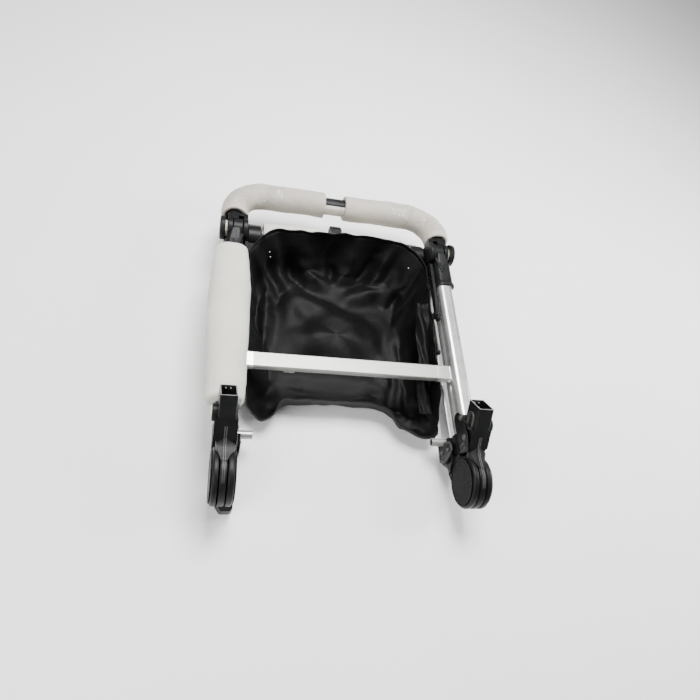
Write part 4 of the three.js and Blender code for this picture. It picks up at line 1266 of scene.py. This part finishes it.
def fold_height(point):
    """How far the fabric is raised at a point by the folds and by small creases."""
    x = point.x + 7 * noise.noise(point / 37)
    y = point.y + 7 * noise.noise(point / 37 + Vector((9, 5, 2)))
    total = 0.0
    for height, width, line in FOLDS:
        if min(abs(x - px) + abs(y - py) for px, py in line) > 130:
            continue
        far, along = line_distance(x, y, line)
        ends = min(1.0, 6 * along + 0.25, 6 * (1 - along) + 0.25)
        total += height * ends * math.exp(-(far / width) ** 1.6)
    loose = min(1.0, max(0.25, (abs(point.x) - 70) / 90, (180 - point.y) / 40, (point.y - 470) / 50))
    creases = noise.ridged_multi_fractal(point / 52, 0.9, 2.1, 3, 1.0, 1.8) - 1.1
    crumple = min(1.0, max(0.0, (178 - point.y) / 20)) * min(1.0, max(0.0, (point.x - 92) / 20))
    return total + 3.4 * loose * creases + 9 * crumple * noise.noise(point / 13)


def basket_point(hem, base, share):
    """A point on the fabric: 0 at the hem, 1 where the wall turns into the base, 2 in the middle."""
    if share > 1:
        return base.lerp(BASE_MIDDLE, share - 1)
    outward = (hem - BASE_MIDDLE).to_2d().normalized() * 6
    x = hem.x * 0.5 + base.x * 0.5 + outward.x
    y = hem.y * 0.5 + base.y * 0.5 + outward.y
    belly = Vector((x, y, BASE_HEIGHT + 2))
    return (1 - share) ** 2 * hem + 2 * share * (1 - share) * belly + share ** 2 * base


def spilled(point, share):
    """The point pushed out with the loose near corners; the hem and the base's middle stay."""
    amount = max(0.0, min(1.0, share / 0.25, (1.7 - share) / 0.5))
    for (x, y), reach, push in SPILLS:
        far = math.hypot(point.x - x, point.y - y) / reach
        point = point + Vector(push) * amount * math.exp(-far * far)
    return point


def hem_line(columns):
    """The hem with its small waves, kept clear of the side tubes."""
    points = []
    for point in smooth_loop(HEM, columns):
        crumple = 1.6 if point.x > 95 and point.y < 175 else 1.0
        wave = Vector([noise.noise(point / 26 + Vector((k, 0, 0))) for k in (0, 31, 62)]) * 5 * crumple
        x = max(-200, min(204, point.x + wave.x))
        points.append(Vector((x, point.y + wave.y, point.z + 0.8 * wave.z)))
    return points


def column_turns(hems):
    """The direction of each column from the middle, evened out so that no two columns cross."""
    turns = [math.atan2((hem.y - BASE_CENTRE[1]) / BASE_HALF[1], hem.x / BASE_HALF[0]) for hem in hems]
    for i in range(1, len(turns)):
        turns[i] += 2 * math.pi * round((turns[i - 1] - turns[i]) / (2 * math.pi))
    full = 2 * math.pi * (1 if turns[-1] > turns[0] else -1)
    count, reach = len(turns), 7
    even = []
    for i in range(count):
        near = [turns[k % count] + full * (k // count) for k in range(i - reach, i + reach + 1)]
        even.append(sum(near) / len(near))
    return even


def basket_rings(columns, wall_rings, base_rings):
    """Rings of the fabric from the hem down the walls and in to the base's middle."""
    hems = hem_line(columns)
    turns = column_turns(hems)
    rings = []
    shares = [i / wall_rings for i in range(wall_rings)] + [1 + i / base_rings for i in range(base_rings)]
    for share in shares:
        ring = []
        for hem, turn in zip(hems, turns):
            c, s = math.cos(turn), math.sin(turn)
            size = (abs(c) ** BASE_SQUARENESS + abs(s) ** BASE_SQUARENESS) ** (-1 / BASE_SQUARENESS)
            base = Vector((BASE_HALF[0] * c * size, BASE_CENTRE[1] + BASE_HALF[1] * s * size, BASE_HEIGHT))
            ring.append(spilled(basket_point(hem, base, share), share))
        rings.append(ring)
    return rings, shares


def basket_sheet(columns):
    """The fabric as laid out before it settles, with its folds pushed in along the normals."""
    rings, shares = basket_rings(columns, 24, 34)
    bm = bmesh.new()
    verts = [[bm.verts.new(p) for p in ring] for ring in rings]
    middle = bm.verts.new(BASE_MIDDLE)
    for one, two in zip(verts, verts[1:]):
        for i in range(columns):
            j = (i + 1) % columns
            bm.faces.new((one[i], one[j], two[j], two[i]))
    for i in range(columns):
        bm.faces.new((verts[-1][i], verts[-1][(i + 1) % columns], middle))
    bm.normal_update()
    moves = {middle: middle.normal * fold_height(middle.co)}
    for share, ring in zip(shares, verts):
        held = min(1.0, share / 0.3)
        for vert in ring:
            moves[vert] = vert.normal * held * fold_height(vert.co)
    for vert, move in moves.items():
        vert.co += move
    return bm


def within_basket_room(point):
    """Keeps the fabric off the floor, out from under the crossbar and clear of the legs."""
    x = max(-203.0, min(206.0, point.x))
    reach = (FOAM_HIGH.z - FOAM_LOW.z) / 2 + 2
    gap = Vector((point.y - AXLE_Y, point.z - AXLE_Z))
    if abs(x) < FOAM_HIGH.x + 3 and 0 < gap.length < reach:
        gap *= reach / gap.length
        point = Vector((x, min(AXLE_Y + gap.x, 566), AXLE_Z + gap.y))
    low = FLOOR_Z + 1.5
    high = BAR_LOW.z - 5 if abs(point.y - 222) < 26 else 40
    return Vector((x, point.y, max(low, min(high, point.z))))


def settled(obj, pinned):
    """Lets the fabric sag and crease under its own weight, held by its hem."""
    group = obj.vertex_groups.new(name="hem")
    group.add(pinned, 1.0, "REPLACE")
    start = [v.co.copy() for v in obj.data.vertices]
    cloth = obj.modifiers.new("cloth", "CLOTH")
    settings = cloth.settings
    settings.quality, settings.mass, settings.air_damping = 6, 0.12, 3
    settings.tension_stiffness = settings.compression_stiffness = 12
    settings.shear_stiffness, settings.bending_stiffness = 6, 0.35
    settings.vertex_group_mass, settings.shrink_min = "hem", -0.03
    cloth.collision_settings.use_collision = False
    frames = 24
    cloth.point_cache.frame_start, cloth.point_cache.frame_end = 1, frames
    scene = bpy.context.scene
    for number in range(1, frames + 1):
        scene.frame_set(number)
    shown = obj.evaluated_get(bpy.context.evaluated_depsgraph_get()).to_mesh()
    ends = [v.co.copy() for v in shown.vertices]
    obj.modifiers.remove(cloth)
    limit, middle = 12 * MM, TO_ROW @ BASE_MIDDLE
    for vert, begin, end in zip(obj.data.vertices, start, ends):
        move = (end - begin) * min(1.0, max(0.0, ((begin - middle).to_2d().length / MM - 50) / 110))
        if move.length > limit:
            move *= limit / move.length
        vert.co = TO_ROW @ within_basket_room(TO_ROW.inverted() @ (begin + move))
    scene.frame_set(1)


def softened(obj, pinned):
    """Rounds the sharpest creases, most of all where the mesh's columns meet, and leaves the hem alone."""
    bm = bmesh.new()
    bm.from_mesh(obj.data)
    bm.verts.ensure_lookup_table()
    held = {bm.verts[i] for i in pinned}
    middle = TO_ROW @ BASE_MIDDLE
    for reach, passes in ((1.0, 3), (0.15, 18), (0.045, 12), (0.03, 12), (0.018, 12)):
        near = [v for v in bm.verts if v not in held and (v.co - middle).to_2d().length < reach]
        smoothed(bm, near, passes)
    bm.to_mesh(obj.data)
    bm.free()


def fabric_basket():
    """The black under-basket, with its hem band, its side flap and its snaps."""
    columns = 200
    fabric = make("fabric_basket", [basket_sheet(columns)], "nylon", "rear_frame",
                  replaces=["basket"], smooth_angle=180, weighted=False)
    settled(fabric, list(range(columns)))
    softened(fabric, range(columns))
    thick = fabric.modifiers.new("thickness", "SOLIDIFY")
    thick.thickness, thick.offset = 0.0012, -1
    band = hem_band(columns)
    side_flap()
    snaps()


def side_flap():
    """The loose strip that lies along the right-hand side, under the crossbar and down to the near corner."""
    # Each station is (inner edge, outer edge, y, z).
    stations = [(166, 200, 398, 4), (166, 199, 380, -2), (165, 196, 350, -8), (164, 192, 310, -14),
                (163, 188, 275, -17), (160, 188, 240, -20), (158, 189, 215, -26), (160, 190, 185, -38),
                (162, 190, 150, -46)]
    dense = []
    for (a, b, y, z), (c, d, v, w) in zip(stations, stations[1:]):
        for i in range(12):
            t = i / 12
            dense.append((a + (c - a) * t, b + (d - b) * t, y + (v - y) * t, z + (w - z) * t))
    rows = []
    for start, end, y, z in dense:
        row = []
        for i in range(17):
            t = i / 16
            x = start + (end - start) * t
            lift = 5 * math.sin(math.pi * t) + 3.4 * math.sin(2.6 * math.pi * t + 0.05 * y)
            lift += 3 * noise.noise(Vector((x, y, 0)) / 19)
            row.append(Vector((x + 2 * noise.noise(Vector((y, i, 3)) / 24), y, z + 4 + lift)))
        rows.append(row)
    bm = loft(rows, False, False)
    smoothed(bm, bm.verts)
    flap = make("side_flap", [bm], "nylon", "rear_frame", smooth_angle=180, weighted=False)
    thick = flap.modifiers.new("thickness", "SOLIDIFY")
    thick.thickness, thick.offset = 0.001, 0


def snaps():
    """Small snap fasteners by the basket's far corners."""
    parts = []
    for x, y, z in ((-157, 494, 10), (-155, 484, 6), (159, 493, 12)):
        parts.append(dome(1.7, 1.6, (x, y, z), (0.1 if x < 0 else -0.1, -0.6, 0.8), 20))
    make("hem_snaps", parts, "steel", "rear_frame")


def hem_band(columns):
    """The doubled binding sewn round the basket's mouth."""
    hems = hem_line(columns)
    rings = []
    for i, point in enumerate(hems):
        along = (hems[(i + 1) % columns] - hems[i - 1]).normalized()
        side = along.cross(Vector((0, 0, 1))).normalized()
        down = along.cross(side).normalized()
        tall = 6.5 + 0.8 * noise.noise(point / 20)
        section = rounded(0, 0, 3.0, 2 * tall, 1.45, 3)
        sway = 0.6 * noise.noise(point / 15)
        rings.append([point + side * (a + sway) + down * (b * 0.9) for a, b in section])
    return make("basket_hem", [closed_loft(rings)], "nylon", "rear_frame", smooth_angle=70, weighted=False)


# ---------------------------------------------------------------- stage, light and camera
def stage():
    """A pale floor, a dim white world and three soft lights."""
    bm = bmesh.new()
    bmesh.ops.create_grid(bm, x_segments=1, y_segments=1, size=4)
    floor = as_object(bm, "floor")
    s = Shader("pale_floor", Roughness=0.9, Specular_IOR_Level=0.1)
    s.into("Base Color", s.ramp(s.noise(3, 2), [(0.3, (0.93, 0.93, 0.93)), (0.7, (0.95, 0.95, 0.95))]))
    floor.data.materials.append(s.material)
    world = bpy.data.worlds.new("studio")
    world.use_nodes = True
    world.node_tree.nodes["Background"].inputs["Color"].default_value = (1, 1, 1, 1)
    world.node_tree.nodes["Background"].inputs["Strength"].default_value = 0.21
    bpy.context.scene.world = world
    soft_light("overhead", (0.1, 0.6, 1.9), (0.0, 0.05, 0.0), 1.0, 93)
    soft_light("window_side", (1.6, 0.1, 1.1), (0.1, 0.0, 0.1), 0.7, 31)
    soft_light("front_fill", (-1.3, -1.0, 1.4), (0.0, -0.1, 0.1), 1.0, 34)


def soft_light(name, place, target, size, power):
    """A square area light aimed at a point."""
    data = bpy.data.lights.new(name, "AREA")
    data.shape, data.size, data.energy = "SQUARE", size, power
    light = bpy.data.objects.new(name, data)
    light.location = place
    light.rotation_euler = (Vector(target) - Vector(place)).to_track_quat("-Z", "Y").to_euler()
    bpy.context.scene.collection.objects.link(light)


def camera():
    """The view is turned about the upright axis, tilted down and rolled, in that order."""
    data = bpy.data.cameras.new("camera")
    data.lens, data.sensor_width = 30.41, 36
    data.dof.use_dof = False
    data.clip_start = 0.01
    turned = Matrix.Rotation(math.radians(-27.1), 4, "Z")
    tilted = Matrix.Rotation(math.radians(33.67), 4, "X")
    rolled = Matrix.Rotation(math.radians(27.6), 4, "Z")
    obj = bpy.data.objects.new("camera", data)
    bpy.context.scene.collection.objects.link(obj)
    place = Matrix.Translation(TO_ROW @ Vector((-295.2, -325.6, 1007.4)))
    obj.matrix_world = place @ turned @ tilted @ rolled
    bpy.context.scene.camera = obj


def leftover_nodes():
    """The CAD nodes that stay as they are get their finish."""
    finishes = {"hub_axle": "steel", "handle_pin": "steel", "handlebar_tube": "bar"}
    for name, node in frame["nodes"].items():
        for start, finish in finishes.items():
            if name.startswith(start):
                node.data.materials.clear()
                node.data.materials.append(MATERIALS[finish])


camera()
stage()
fold_hubs()
carrier_hubs()
tubes()
spigots()
crossbar()
handle_hubs()
handle_bases()
release_links()
handle_foams()
grip()
side_foam()
axle_sleeve()
rear_axle_parts()
brake_pedal()
caster_sockets()
fold_block()
fabric_basket()
leftover_nodes()
